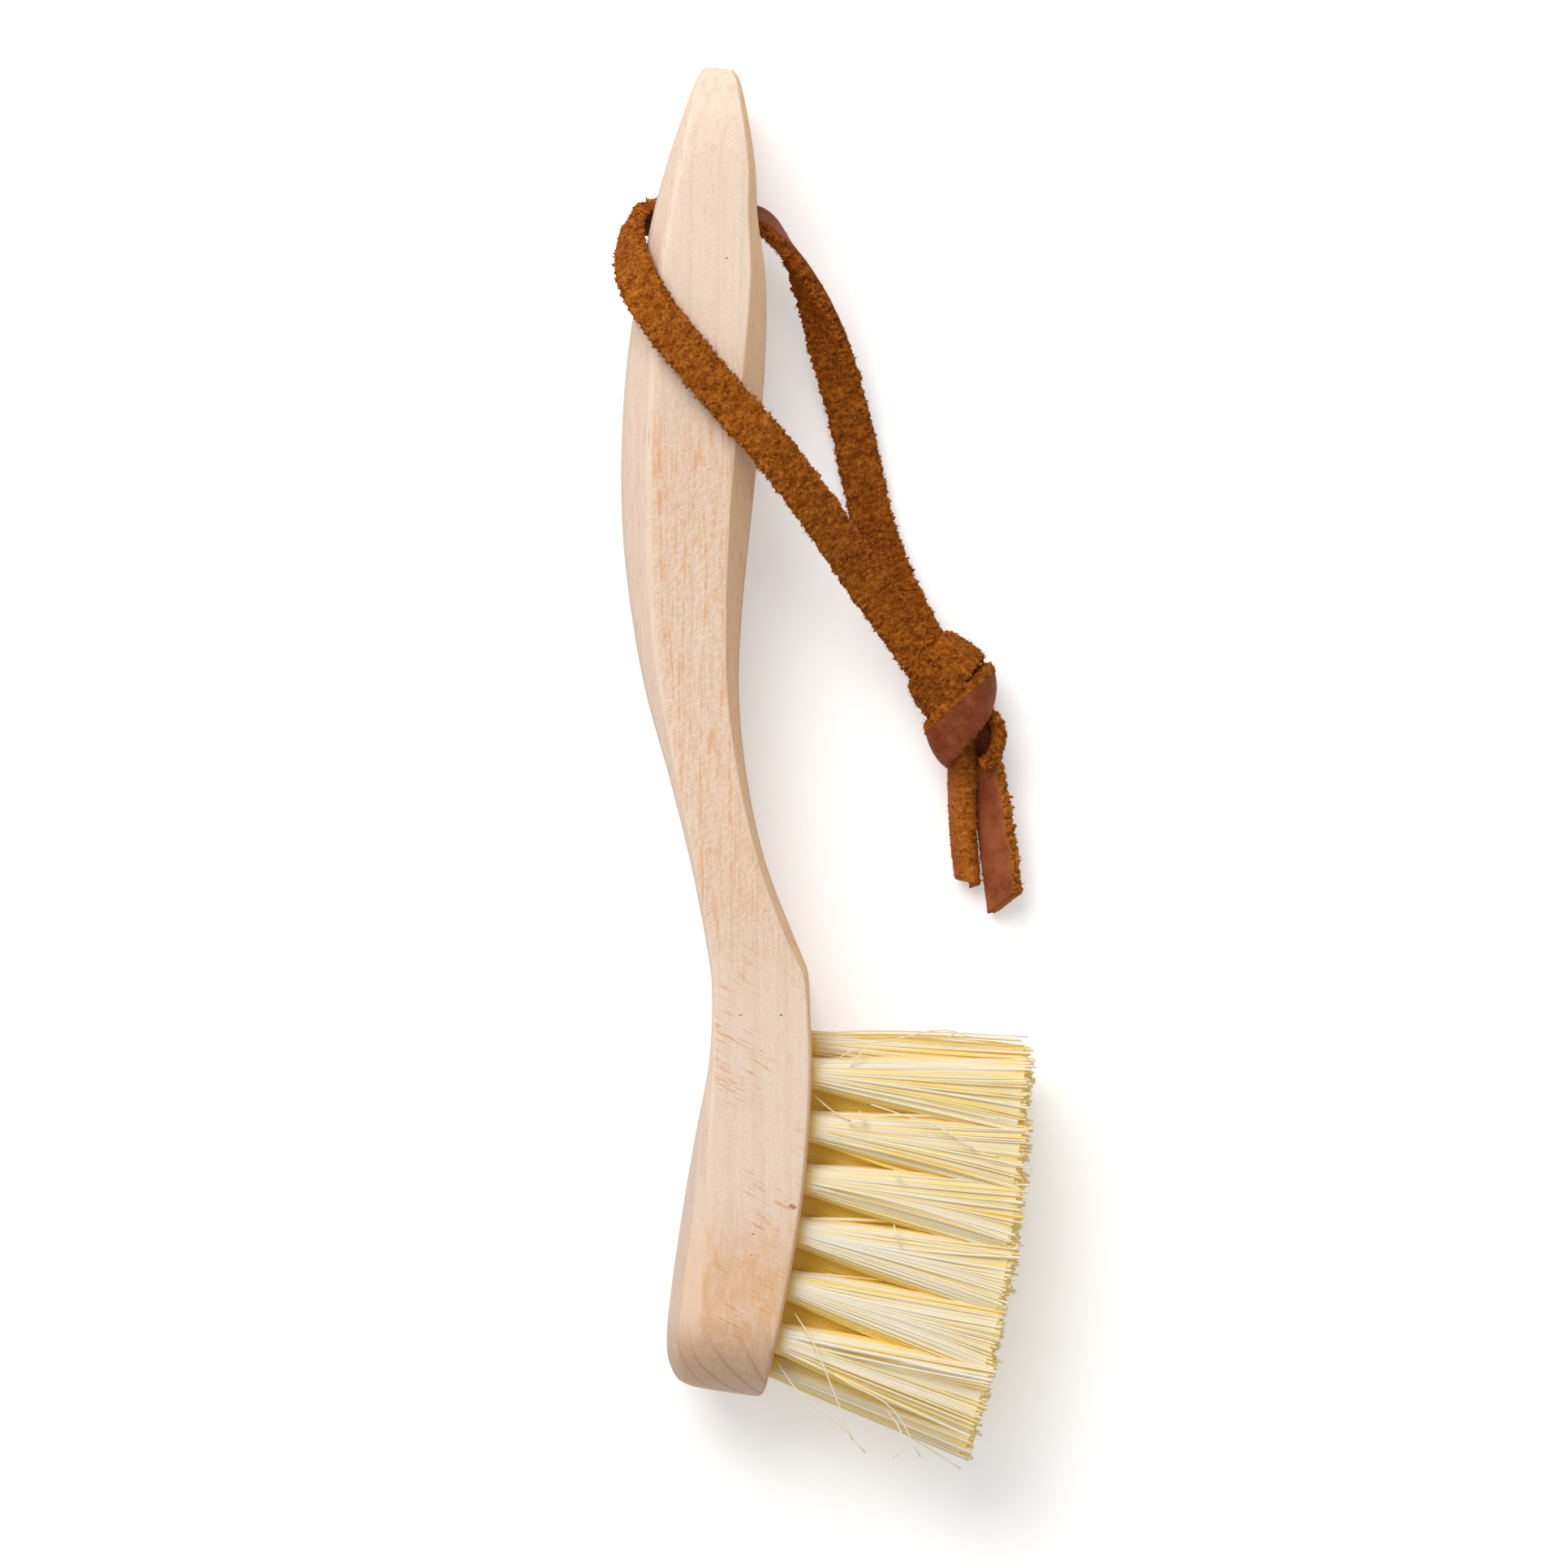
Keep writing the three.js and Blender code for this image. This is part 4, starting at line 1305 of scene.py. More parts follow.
    def splay_of(self, seat: Seat) -> Array:
        """Splay of a tuft along the row and across it.

        Args:
            seat: the tuft's seat.

        Returns:
            The two factors, those of the two open ends being their own.
        """
        ends = dict(zip(self.open_ends(), self.end_splay))
        along, across = self.middle_splay if seat.name.startswith("middle") else self.splay
        return np.array([ends.get(seat.name, along), across])

    def width_at(self, out: Array, splay: Array) -> Array:
        """Width over that in the hole: 1 plus the splay's surplus times the trim's share to its power."""
        away = np.clip(out / self.trim, 0, None)[..., None] ** np.array(self.splay_power)
        return 1 + (splay - 1) * away

    def outline_at(self, out: Array, turn: Array) -> Array:
        """Section of a tuft: signed cosine and sine, to a power from 1 in the hole to that at the trim."""
        power = 1 - (1 - self.squared) * np.clip(out / self.trim, 0, 1)
        return np.stack([np.sign(f(turn)) * np.abs(f(turn)) ** power for f in (np.cos, np.sin)], axis=-1)

    def even_turns(self, shares: Array, splay: Array) -> Array:
        """Angles whose places lie evenly round the trimmed end of a tuft.

        Args:
            shares: shares of the way round.
            splay: splay of the tuft.

        Returns:
            The angles, read from a table of the length run round the outline.
        """
        table = np.linspace(0, 2 * math.pi, ROUND_SAMPLES)
        run = run_along(self.outline_at(np.full(len(table), self.trim), table) * splay)
        return np.interp(shares % 1, run / run[-1], table)

    def core(self, rng: Random, splay: Array) -> Skin:
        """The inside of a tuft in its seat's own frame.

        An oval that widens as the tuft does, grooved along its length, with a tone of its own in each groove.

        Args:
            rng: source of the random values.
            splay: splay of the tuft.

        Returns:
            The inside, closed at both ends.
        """
        rows, columns = self.core_grid
        end = self.trim * self.core_length
        cells = (self.core_waves, columns // 2)
        middle_tone, tone_range = self.core_tone
        out = np.append(np.linspace(-self.root_depth, end - self.cut_edge, rows - 1), end)
        turn = self.even_turns(np.arange(columns) / columns, splay)
        radius = self.root_radius * self.core_size + self.core_groove * patches(rng, rows, columns, cells)
        round_it = self.outline_at(out[:, None], turn[None])
        sideways = radius[..., None] * round_it * self.width_at(out, splay)[:, None]
        lengthwise = np.repeat(out[:, None], columns, axis=1)
        points = np.concatenate([lengthwise[..., None], sideways], axis=2)
        tone = middle_tone + tone_range * patches(rng, rows, columns, cells)
        run = np.broadcast_to(np.clip(out / self.trim, 0, self.core_run)[:, None], (rows, columns))
        faces = [grid_faces(rows, columns), *end_faces(rows, columns)]
        return Skin(points.reshape(-1, 3), faces, {"tone": tone.reshape(-1), "run": run.reshape(-1)})

    def bundle(self, rng: Random, splay: Array) -> Skin:
        """The single strands of a tuft in its seat's own frame.

        Some roots fill the round hole evenly, each turned by the golden angle from the one before, and the
        others lie round its edge. A strand keeps its place in the tuft as the tuft widens, and has a bow of
        its own.

        Args:
            rng: source of the random values.
            splay: splay of the tuft.

        Returns:
            The strands.
        """
        n = self.strands
        order = np.arange(n) + 0.5
        outer = rng.uniform(0, 1, n) < self.outer_share
        reach = np.where(outer, rng.uniform(*self.outer_reach, n), self.inner_reach * np.sqrt(order / n))
        turn = self.even_turns(order * GOLDEN_TURN + rng.uniform(0, 1), splay)
        loose = rng.uniform(0, 1, n) < self.loose_share
        wander = np.where(loose, self.loose_spread, self.spread)[:, None]
        short = (rng.uniform(0, 1, n) > self.full_share) * rng.uniform(*self.short_by, n)
        length = self.trim - self.trim_slack + np.abs(rng.normal(0, self.ragged, n)) - short
        share = np.array(self.stations)
        out = -self.root_depth + share[None] * (length + self.root_depth)[:, None]
        outside = np.clip(out / self.trim, 0, None)[..., None]
        astray = (rng.normal(0, 1, (n, 2)) * wander)[:, None] * outside
        bow = (rng.normal(0, 1, (n, 2)) * wander * self.bow)[:, None]
        bow = bow * np.sin(math.pi * np.clip(outside, 0, 1))
        place = self.root_radius * reach[:, None, None] * self.outline_at(out, turn[:, None])
        thick = rng.uniform(*self.strand_radius, n)[:, None] * (1 - self.thinning * share[None])
        sunk = rng.uniform(*self.sunk, n)[:, None] * thick
        sideways = place * self.width_at(out, splay)
        away = np.linalg.norm(sideways, axis=2)
        sideways *= np.clip(1 - sunk / away, self.least_reach, 1)[..., None]
        paths = np.concatenate([out[..., None], sideways + astray + bow], axis=2)
        golden = rng.uniform(0, 1, n) < self.golden_share
        tone = np.where(golden, *self.tones) + rng.normal(0, self.tone_spread, n)
        tone = np.clip(tone, 0, 1)[:, None] * np.ones_like(out)
        uncut = np.clip(out / length[:, None], 0, self.run_before_cut)
        run = np.where(share[None] < 1, uncut, 1.0)
        return tubes(paths, thick, self.sides, {"tone": tone, "run": run})

    def cut_ends(self, rng: Random, splay: Array) -> Skin:
        """Short strands that fill the trimmed face of a tuft between the long ones.

        They fill its section evenly, each turned by the golden angle from the one before, and lean outwards
        as the tuft widens.

        Args:
            rng: source of the random values.
            splay: splay of the tuft.

        Returns:
            The strands.
        """
        n = int(self.stubs * splay[0] * splay[1])
        order = np.arange(n) + 0.5
        reach = self.stub_reach * np.sqrt(order / n)
        turn = self.even_turns(order * GOLDEN_TURN + rng.uniform(0, 1), splay)
        top = self.trim + rng.normal(0, self.stub_ragged * self.ragged, n)
        out = top[:, None] - np.array([self.stub_length, self.cut_edge, 0.0])
        place = self.root_radius * reach[:, None, None] * self.outline_at(out, turn[:, None])
        paths = np.concatenate([out[..., None], place * self.width_at(out, splay)], axis=2)
        rings = np.ones((1, out.shape[1]))
        thick = self.stub_size * rng.uniform(*self.strand_radius, n)[:, None] * rings
        tone = np.clip(rng.normal(*self.stub_tone, n), 0, 1)[:, None] * rings
        run = np.broadcast_to(np.array(self.stub_run), out.shape)
        return tubes(paths, thick, self.sides, {"tone": tone, "run": run})

    def lee_shade(self, points: Array, splay: Array) -> Array:
        """Painted shade on the side towards the head's end, away from the lamp, as a depth that grows with
        the square of the way from middle to edge.
        """
        half = self.root_radius * self.width_at(points[:, 0], splay)[:, 0]
        return self.lee_shade_depth * np.clip(-points[:, 1] / half, 0, 1) ** 2

    def kept_between(self, heights: Array) -> Array:
        """Heights eased so that no strand goes into the table or far above the wood.

        Args:
            heights: heights above the table.

        Returns:
            The same heights in between; beyond either bound they near the limit ever more slowly, by the
            exponential of the distance over the room left.
        """
        least, low = self.table_room
        high, most = BLANK_THICKNESS, BLANK_THICKNESS + self.room_above
        under = least + (low - least) * np.exp(np.minimum(heights - low, 0) / (low - least))
        over = most - (most - high) * np.exp(np.minimum(high - heights, 0) / (most - high))
        return np.where(heights < low, under, np.where(heights > high, over, heights))

    def build(self, datum: Datum) -> list[Piece]:
        """Builds every tuft.

        Args:
            datum: place of the maker's frame.

        Returns:
            The pieces.
        """
        material = self.finish.material()
        made = []
        for number, seat in enumerate(self.seats()):
            rng = np.random.default_rng(self.first_seed + number)
            splay = self.splay_of(seat)
            skin = self.core(rng, splay).joined(self.bundle(rng, splay)).joined(self.cut_ends(rng, splay))
            # Painted shade on the side of the tuft away from the lamp.
            lee_shade_depths = self.lee_shade(skin.points, splay)
            skin.points[:, 1] += skin.points[:, 0] * math.radians(rng.normal(0, self.lean_jitter))
            skin.points = seat.turned(skin.points)
            skin.points[:, 2] = self.kept_between(skin.points[:, 2])
            # The depth mark sets painted golden shade and a painted glow in the fibre's finish.
            inside = self.open_depth if seat.name in self.open_ends() else 1.0
            depth = inside * (1 - np.abs(skin.points[:, 2] - MIDDLE_HEIGHT) / self.deep_reach)
            skin.marks["depth"] = np.maximum(depth, lee_shade_depths)
            tuft = skin.piece(f"bristles_{seat.name}", datum, material)
            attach(tuft, Body.BRUSH.value)
            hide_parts(f"tuft_{seat.name}")
            made.append(tuft)
        log.info("tufts: %d of %d strands", len(made), self.strands)
        return made

    def dress_anchors(self, finish: WireFinish) -> None:
        """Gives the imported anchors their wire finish.

        Args:
            finish: the wire.
        """
        material = finish.material()
        for seat in self.seats():
            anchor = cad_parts[f"anchor_{seat.name}"]
            anchor.material_slots[0].material = material
        log.info("anchors: %d", len(self.seats()))


@dataclass
class StrayFibres:
    """Single strands that stand away from the tufts at both ends of the field."""

    finish: FibreFinish
    radius: float = 0.09  # radius of a strand
    sides: int = 5  # sides of a strand
    rings: int = 14  # rings along a strand
    run_range: Pair = (0.5, 0.98)  # places along a strand of a tuft that its two ends stand for
    tone_range: Pair = (0.35, 0.8)  # tone of the first and of the last strand
    # The points of each strand.
    paths: tuple[tuple[Triple, ...], ...] = (
        ((11.3, -114.6, 14.0), (17.0, -114.2, 15.0), (27.0, -114.3, 15.6), (37.2, -114.9, 15.2)),
        ((11.4, -115.2, 12.0), (22.0, -114.9, 13.0), (31.0, -115.3, 13.2), (36.8, -116.0, 13.0)),
        ((11.4, -115.6, 15.0), (20.0, -115.4, 16.5), (27.0, -114.0, 17.0), (31.0, -115.0, 17.4)),
        ((6.9, -152.6, 15.0), (10.5, -157.4, 16.8), (14.6, -160.4, 17.0), (17.9, -164.0, 16.6)),
        ((7.0, -152.2, 12.0), (15.0, -157.6, 13.0), (23.0, -162.2, 13.6), (29.3, -166.2, 13.0)),
        ((9.6, -147.6, 16.6), (11.8, -151.0, 18.6), (14.2, -156.8, 19.2), (16.4, -162.4, 18.8)),
        ((8.4, -150.6, 16.0), (15.0, -155.2, 18.2), (21.0, -158.6, 19.0), (24.4, -164.4, 18.6)),
        ((20.4, -159.0, 16.0), (22.0, -161.2, 17.4), (22.4, -163.4, 17.6), (21.2, -164.6, 17.2)),
        ((28.0, -128.2, 17.0), (32.0, -129.4, 18.2), (35.0, -130.0, 18.4), (37.6, -130.4, 18.2)),
        ((11.6, -121.6, 15.8), (12.6, -122.4, 17.2), (13.8, -123.4, 17.4), (16.1, -124.7, 17.6)),
        ((16.0, -125.2, 17.9), (16.6, -125.0, 18.3), (17.3, -124.8, 18.5), (18.0, -124.6, 18.6)),
        ((17.2, -123.6, 17.8), (17.4, -124.1, 18.4), (17.7, -124.7, 18.6), (18.0, -125.3, 18.4)),
        ((14.8, -117.4, 16.4), (15.6, -116.8, 17.0), (16.6, -116.4, 17.2), (17.9, -116.3, 17.0)),
        ((16.0, -118.6, 17.2), (16.6, -117.8, 17.8), (17.2, -117.0, 17.8), (17.9, -116.2, 17.4)),
        ((21.3, -137.0, 18.4), (21.5, -137.9, 18.8), (21.8, -138.8, 18.8), (22.2, -139.6, 18.5)),
        ((21.3, -130.5, 18.2), (21.6, -131.0, 18.7), (21.9, -131.5, 18.8), (22.2, -132.0, 18.6)),
        ((18.6, -122.8, 18.2), (22.0, -123.9, 18.7), (26.3, -125.3, 18.9), (30.8, -128.1, 18.9)),
        ((27.0, -115.6, 15.6), (27.6, -115.1, 16.2), (28.1, -114.7, 16.3), (28.7, -114.2, 16.1)),
    )

    def build(self, datum: Datum) -> Piece:
        """Builds the strands.

        Args:
            datum: place of the maker's frame.

        Returns:
            One piece with all of them.
        """
        shares = np.linspace(0, 1, self.rings)
        paths = np.stack([spline_at(np.array(path), shares) for path in self.paths])
        size = paths.shape[:2]
        run = np.broadcast_to(np.linspace(*self.run_range, len(shares)), size)
        tone = np.broadcast_to(np.linspace(*self.tone_range, len(paths))[:, None], size)
        marks = {"tone": tone, "run": run, "depth": np.zeros(size)}
        skin = tubes(paths, np.full(size, self.radius), self.sides, marks)
        strays = skin.piece("stray_fibres", datum, self.finish.material())
        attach(strays, Body.BRUSH.value)
        log.info("stray fibres: %d", len(self.paths))
        return strays


@dataclass(frozen=True)
class Crumbs:
    """Small crumbs of the nap, more of them on the cut edges."""

    per_mm: float = 18.0  # crumbs on a millimetre of lace
    at_edges: float = 1.5  # how many times more often they lie at the edges
    edge: float = 0.3  # width of the strip that counts as an edge
    size: Pair = (0.07, 0.19)  # least and most radius
    lift: float = 0.35  # how far a crumb's middle stands out, as a share of its radius
    stretch: Pair = (0.6, 1.3)  # least and most length along each axis, as a share of its radius
    dents: float = 0.16  # unevenness, as a share of its radius
    rise: Pair = (-0.3, 1.0)  # least and most rise, which sets its tone

    def strewn(self, rng: Random, points: Array, normals: Array, chance: Array, run: float) -> Skin:
        """Strews crumbs on a strip.

        Args:
            rng: source of the random values.
            points: points of the strip.
            normals: outward directions at those points.
            chance: chance of a crumb round the section.
            run: length of the strip.

        Returns:
            The crumbs, each a small uneven lump of twenty faces.
        """
        rows, columns, _ = points.shape
        count = int(self.per_mm * run)
        row = rng.integers(1, rows - 1, count)
        column = rng.choice(columns, count, p=chance / chance.sum())
        size = rng.uniform(*self.size, count)
        middle = points[row, column] + normals[row, column] * (self.lift * size)[:, None]
        ball, corners = lump()
        shape = ball[None] * rng.uniform(*self.stretch, (count, 1, 3))
        shape = shape + rng.normal(0, self.dents, (count, len(ball), 3))
        placed = middle[:, None] + shape * size[:, None, None]
        faces = (np.arange(count)[:, None, None] * len(ball) + corners[None]).reshape(-1, 3)
        rise = np.repeat(rng.uniform(*self.rise, count), len(ball))
        return Skin(placed.reshape(-1, 3), [faces], {"nap": np.ones(len(rise)), "rise": rise})


@dataclass(frozen=True)
class Hairs:
    """Loose hairs of the nap."""

    per_mm: float = 46.0  # hairs on a millimetre of lace
    upright: float = 0.45  # how much a hair follows the outward direction
    stray: float = 0.8  # how much its direction is left to chance
    length: Pair = (0.18, 0.62)  # least and most length
    droop: float = 0.3  # how much its outer half turns back towards the lace
    bend: float = 0.4  # how much that turn is left to chance
    rooted: float = 0.05  # length of its root in the lace
    radii: Triple = (0.042, 0.036, 0.014)  # its radius at its root, its middle and its tip
    thickness: Pair = (0.7, 1.3)  # least and most thickness, as a share of those
    sides: int = 3
    rise: Pair = (-0.2, 1.0)  # least and most rise, which sets its tone

    def grown(self, rng: Random, points: Array, normals: Array, chance: Array, run: float) -> Skin:
        """Grows hairs on a strip.

        Args:
            rng: source of the random values.
            points: points of the strip.
            normals: outward directions at those points.
            chance: chance of a hair round the section.
            run: length of the strip.

        Returns:
            The hairs, each bent once in its middle.
        """
        rows, columns, _ = points.shape
        count = int(self.per_mm * run)
        row = rng.integers(2, rows - 2, count)
        column = rng.choice(columns, count, p=chance / chance.sum())
        root = points[row, column]
        outward = normals[row, column]
        way = unit(self.upright * outward + rng.normal(0, self.stray, (count, 3)))
        half = 0.5 * rng.uniform(*self.length, count)[:, None]
        bent = unit(way - self.droop * outward + rng.normal(0, self.bend, (count, 3)))
        paths = np.stack([root - self.rooted * way, root + half * way, root + half * (way + bent)], axis=1)
        radii = np.array(self.radii)[None] * rng.uniform(*self.thickness, count)[:, None]
        tone = rng.uniform(*self.rise, count)[:, None] * np.ones_like(radii)
        return tubes(paths, radii, self.sides, {"nap": np.ones_like(radii), "rise": tone})


@dataclass
class LaceStrip:
    """A stretch of flat lace."""

    centres: Array  # points along its middle
    facings: Array  # the way its rough side faces at each point
    width: float = LACE_WIDTH
    thickness: float = 1.9
    # Bend across its width at each end, as one over the radius; the rough side is outside.
    curl: Pair = (0.0, 0.0)
    slant: float = 0.0  # how far the far end is cut slantwise, as run over width
    # How far the nap is rubbed off along the edge to the left of the rough side, from 0 to 1.
    worn: float = 0.0
    lip: float = 0.0  # width of torn grain along the other edge of the smooth side
    paler: float = 0.0  # how much paler it is than the rest of the lace
    closed: bool = False  # whether it is a ring
    seed: int = 1  # seed of its unevenness
    corner: float = 0.42  # rounding of its four long edges
    corner_points: int = 5  # points round such an edge
    spacing: float = 0.16  # distance between points round its section
    # Heights, as shares of half the thickness, between which the nap grows full on the edges.
    nap_start: Pair = (-0.95, -0.45)
    worn_reach: float = 0.6  # place across, as a share of half the width, at which a worn edge is worn fully
    torn_reach: float = 0.25  # distance over which torn grain passes into the smooth side
    # Length, width and weight of the layers of the nap's unevenness.
    nap_layers: tuple[Triple, ...] = (
        (0.30, 0.30, 0.50), (0.34, 0.90, 0.46), (0.55, 0.55, 0.20), (1.6, 1.6, 0.05),
    )
    nap_height: float = 0.15
    edge_height: float = 0.26  # how much higher it is at the edges
    edge_span: Pair = (0.6875, 0.1375)  # distances from an edge between which that grows to its full
    smooth_height: float = 0.02  # unevenness of the smooth side
    seam_rows: int = 6  # cross-sections over which the unevenness fades to either side of a ring's seam
    slant_reach: float = 4.0  # length from the far end over which the slantwise cut draws the strip on
    hairs: Hairs = Hairs()
    crumbs: Crumbs = Crumbs()

    @staticmethod
    def along(route: Route, step: float = 0.17, **settings: object) -> "LaceStrip":
        """Lays a strip along a route.

        Args:
            route: points, measured from the middle of the hole, with the way the rough side faces.
            step: distance between cross-sections.
            settings: other attributes.

        Returns:
            The strip.
        """
        points = np.array([point for point, _ in route]) + HOLE_MIDDLE
        facing = np.array([way for _, way in route])
        shares = even_shares(points, step)
        return LaceStrip(spline_at(points, shares), spline_at(facing, shares), **settings)

    @staticmethod
    def turn(middle: Triple, heading: float, radii: Pair, tilts: Pair,
             outside: Outside, lead: float = 0.0, sections: int = 150, **settings: object) -> "LaceStrip":
        """Wraps a strip round the knot.

        Args:
            middle: middle of the turn, measured from the middle of the hole.
            heading: way the knot runs, in degrees.
            radii: half its width across the knot and half its height.
            tilts: slope of its outer face towards the way the knot runs, in degrees, at its left and right.
            outside: side of the lace that faces outwards.
            lead: how far its left end is drawn on along the knot.
            sections: its cross-sections.
            settings: other attributes.

        Returns:
            The strip, as a ring.
        """
        angle = np.linspace(0, 2 * math.pi, sections, endpoint=False)
        way = math.radians(heading)
        ahead = np.array([math.cos(way), math.sin(way), 0.0])
        across = np.array([-math.sin(way), math.cos(way), 0.0])
        up = np.array([0.0, 0.0, 1.0])
        out = np.cos(angle)[:, None] * across * radii[0] + np.sin(angle)[:, None] * up * radii[1]
        slope = np.radians(np.interp(np.cos(angle), [-1, 1], tilts))[:, None]
        facing = unit(out) * np.cos(slope) + ahead * np.sin(slope)
        lag = lead * (1 - np.cos(angle[:, None])) / 2 * ahead
        centres = np.array(middle) + HOLE_MIDDLE + out + lag
        return LaceStrip(centres, facing * outside.value, closed=True, **settings)

    def section(self) -> tuple[Array, Array, Array]:
        """Outline of the lace across its length.

        Returns:
            Places across and up, outward directions, and the share of nap at each place: 1 on the rough
            side, less on the cut edges, 0 on the smooth side.
        """
        wide, high, r = self.width / 2, self.thickness / 2, self.corner
        bend = np.linspace(0, math.pi / 2, self.corner_points)
        arcs = []
        for sign_out, sign_up, start in ((1, 1, 0), (1, -1, 1), (-1, -1, 2), (-1, 1, 3)):
            angle = math.pi / 2 * start + bend
            middle = np.array([sign_out * (wide - r), sign_up * (high - r)])
            arcs.append(middle + r * np.column_stack([np.sin(angle), np.cos(angle)]))
        outline = np.vstack(arcs)
        closed = np.vstack([outline, outline[:1]])
        run = run_along(closed)
        count = int(run[-1] / self.spacing)
        even = np.arange(count) * run[-1] / count
        places = np.column_stack([np.interp(even, run, closed[:, axis]) for axis in (0, 1)])
        ways = np.roll(places, -1, axis=0) - np.roll(places, 1, axis=0)
        outward = unit(np.column_stack([-ways[:, 1], ways[:, 0]]))
        nap = share_of(places[:, 1] / high, *self.nap_start)
        nap = nap * (1 - self.worn * share_of(places[:, 0] / wide, 0.0, self.worn_reach))
        if self.lip:
            nap = np.maximum(nap, share_of(self.lip - wide - places[:, 0], 0.0, self.torn_reach))
        return places, outward, nap

    def frames(self) -> tuple[Array, Array, Array]:
        """Directions at each cross-section.

        Returns:
            Directions along the strip, out of its rough side and across it.
        """
        if self.closed:
            along = np.roll(self.centres, -1, axis=0) - np.roll(self.centres, 1, axis=0)
        else:
            along = np.gradient(self.centres, axis=0)
        along = unit(along)
        rough = unit(self.facings - along * np.sum(self.facings * along, axis=1, keepdims=True))
        return along, rough, np.cross(along, rough)

    def unevenness(self, rng: Random, rows: int, columns: int, run: float) -> Array:
        """Rises and hollows of the nap.

        Args:
            rng: source of the random values.
            rows: cross-sections.
            columns: points in each.
            run: length of the strip.

        Returns:
            The sum of the layers, which fades at the seam of a ring.
        """
        girth = columns * self.spacing
        rise = np.zeros((rows, columns))
        for length, width, weight in self.nap_layers:
            cells = (max(2, int(run / length)), max(3, int(girth / width)))
            rise += weight * patches(rng, rows, columns, cells)
        if self.closed:
            from_seam = np.minimum(np.arange(rows), rows - 1 - np.arange(rows))
            rise *= np.clip(from_seam / self.seam_rows, 0, 1)[:, None]
        return rise

    def skin(self) -> Skin:
        """Builds the strip with its uneven nap, ragged edges, loose hairs and crumbs.

        Returns:
            The skin, with the marks nap and rise.
        """
        rng = np.random.default_rng(self.seed)
        places, outward, nap = self.section()
        along, rough, side = self.frames()
        rows, columns = len(self.centres), len(places)
        run = float(run_along(self.centres)[-1])
        rise = self.unevenness(rng, rows, columns, run)
        inward = np.abs(np.abs(places[:, 0]) - self.width / 2)
        edge = share_of(inward, *self.edge_span)
        height = nap * (self.nap_height + edge * self.edge_height) + (1 - nap) * self.smooth_height
        flat = places[None] + outward[None] * (rise * height[None])[..., None]
        across, up = self.curled(flat)
        points = self.centres[:, None] + across[..., None] * side[:, None] + up[..., None] * rough[:, None]
        if self.slant:
            near = np.clip(1 - np.linspace(run, 0, rows) / self.slant_reach, 0, 1) ** 2
            points = points + along[:, None] * (self.slant * near[:, None] * flat[..., 0])[..., None]
        faces = [grid_faces(rows, columns, self.closed)]
        if not self.closed:
            faces += end_faces(rows, columns)
        marks = {
            "nap": np.broadcast_to(nap, (rows, columns)).reshape(-1),
            "rise": (rise * nap).reshape(-1) + self.paler,
        }
        band = Skin(points.reshape(-1, 3), faces, marks)
        normals = outward[None, :, :1] * side[:, None] + outward[None, :, 1:] * rough[:, None]
        at_edge = np.abs(places[:, 0]) > self.width / 2 - self.crumbs.edge
        crumb_chance = nap * (1 + self.crumbs.at_edges * at_edge)
        hairs = self.hairs.grown(rng, points, normals, nap, run)
        return band.joined(hairs.joined(self.crumbs.strewn(rng, points, normals, crumb_chance, run)))

    def curled(self, flat: Array) -> tuple[Array, Array]:
        """Bends the section across its width.

        Args:
            flat: places across and up at each cross-section.

        Returns:
            Places across and up after bending: a place goes round by its distance from the middle over the
            radius, at the radius plus its height.
        """
        bend = np.linspace(*self.curl, len(flat))[:, None]
        safe = np.where(np.abs(bend) < TINY, TINY, bend)
        angle = flat[..., 0] * safe
        radius = 1 / safe + flat[..., 1]
        return radius * np.sin(angle), radius * np.cos(angle) - 1 / safe


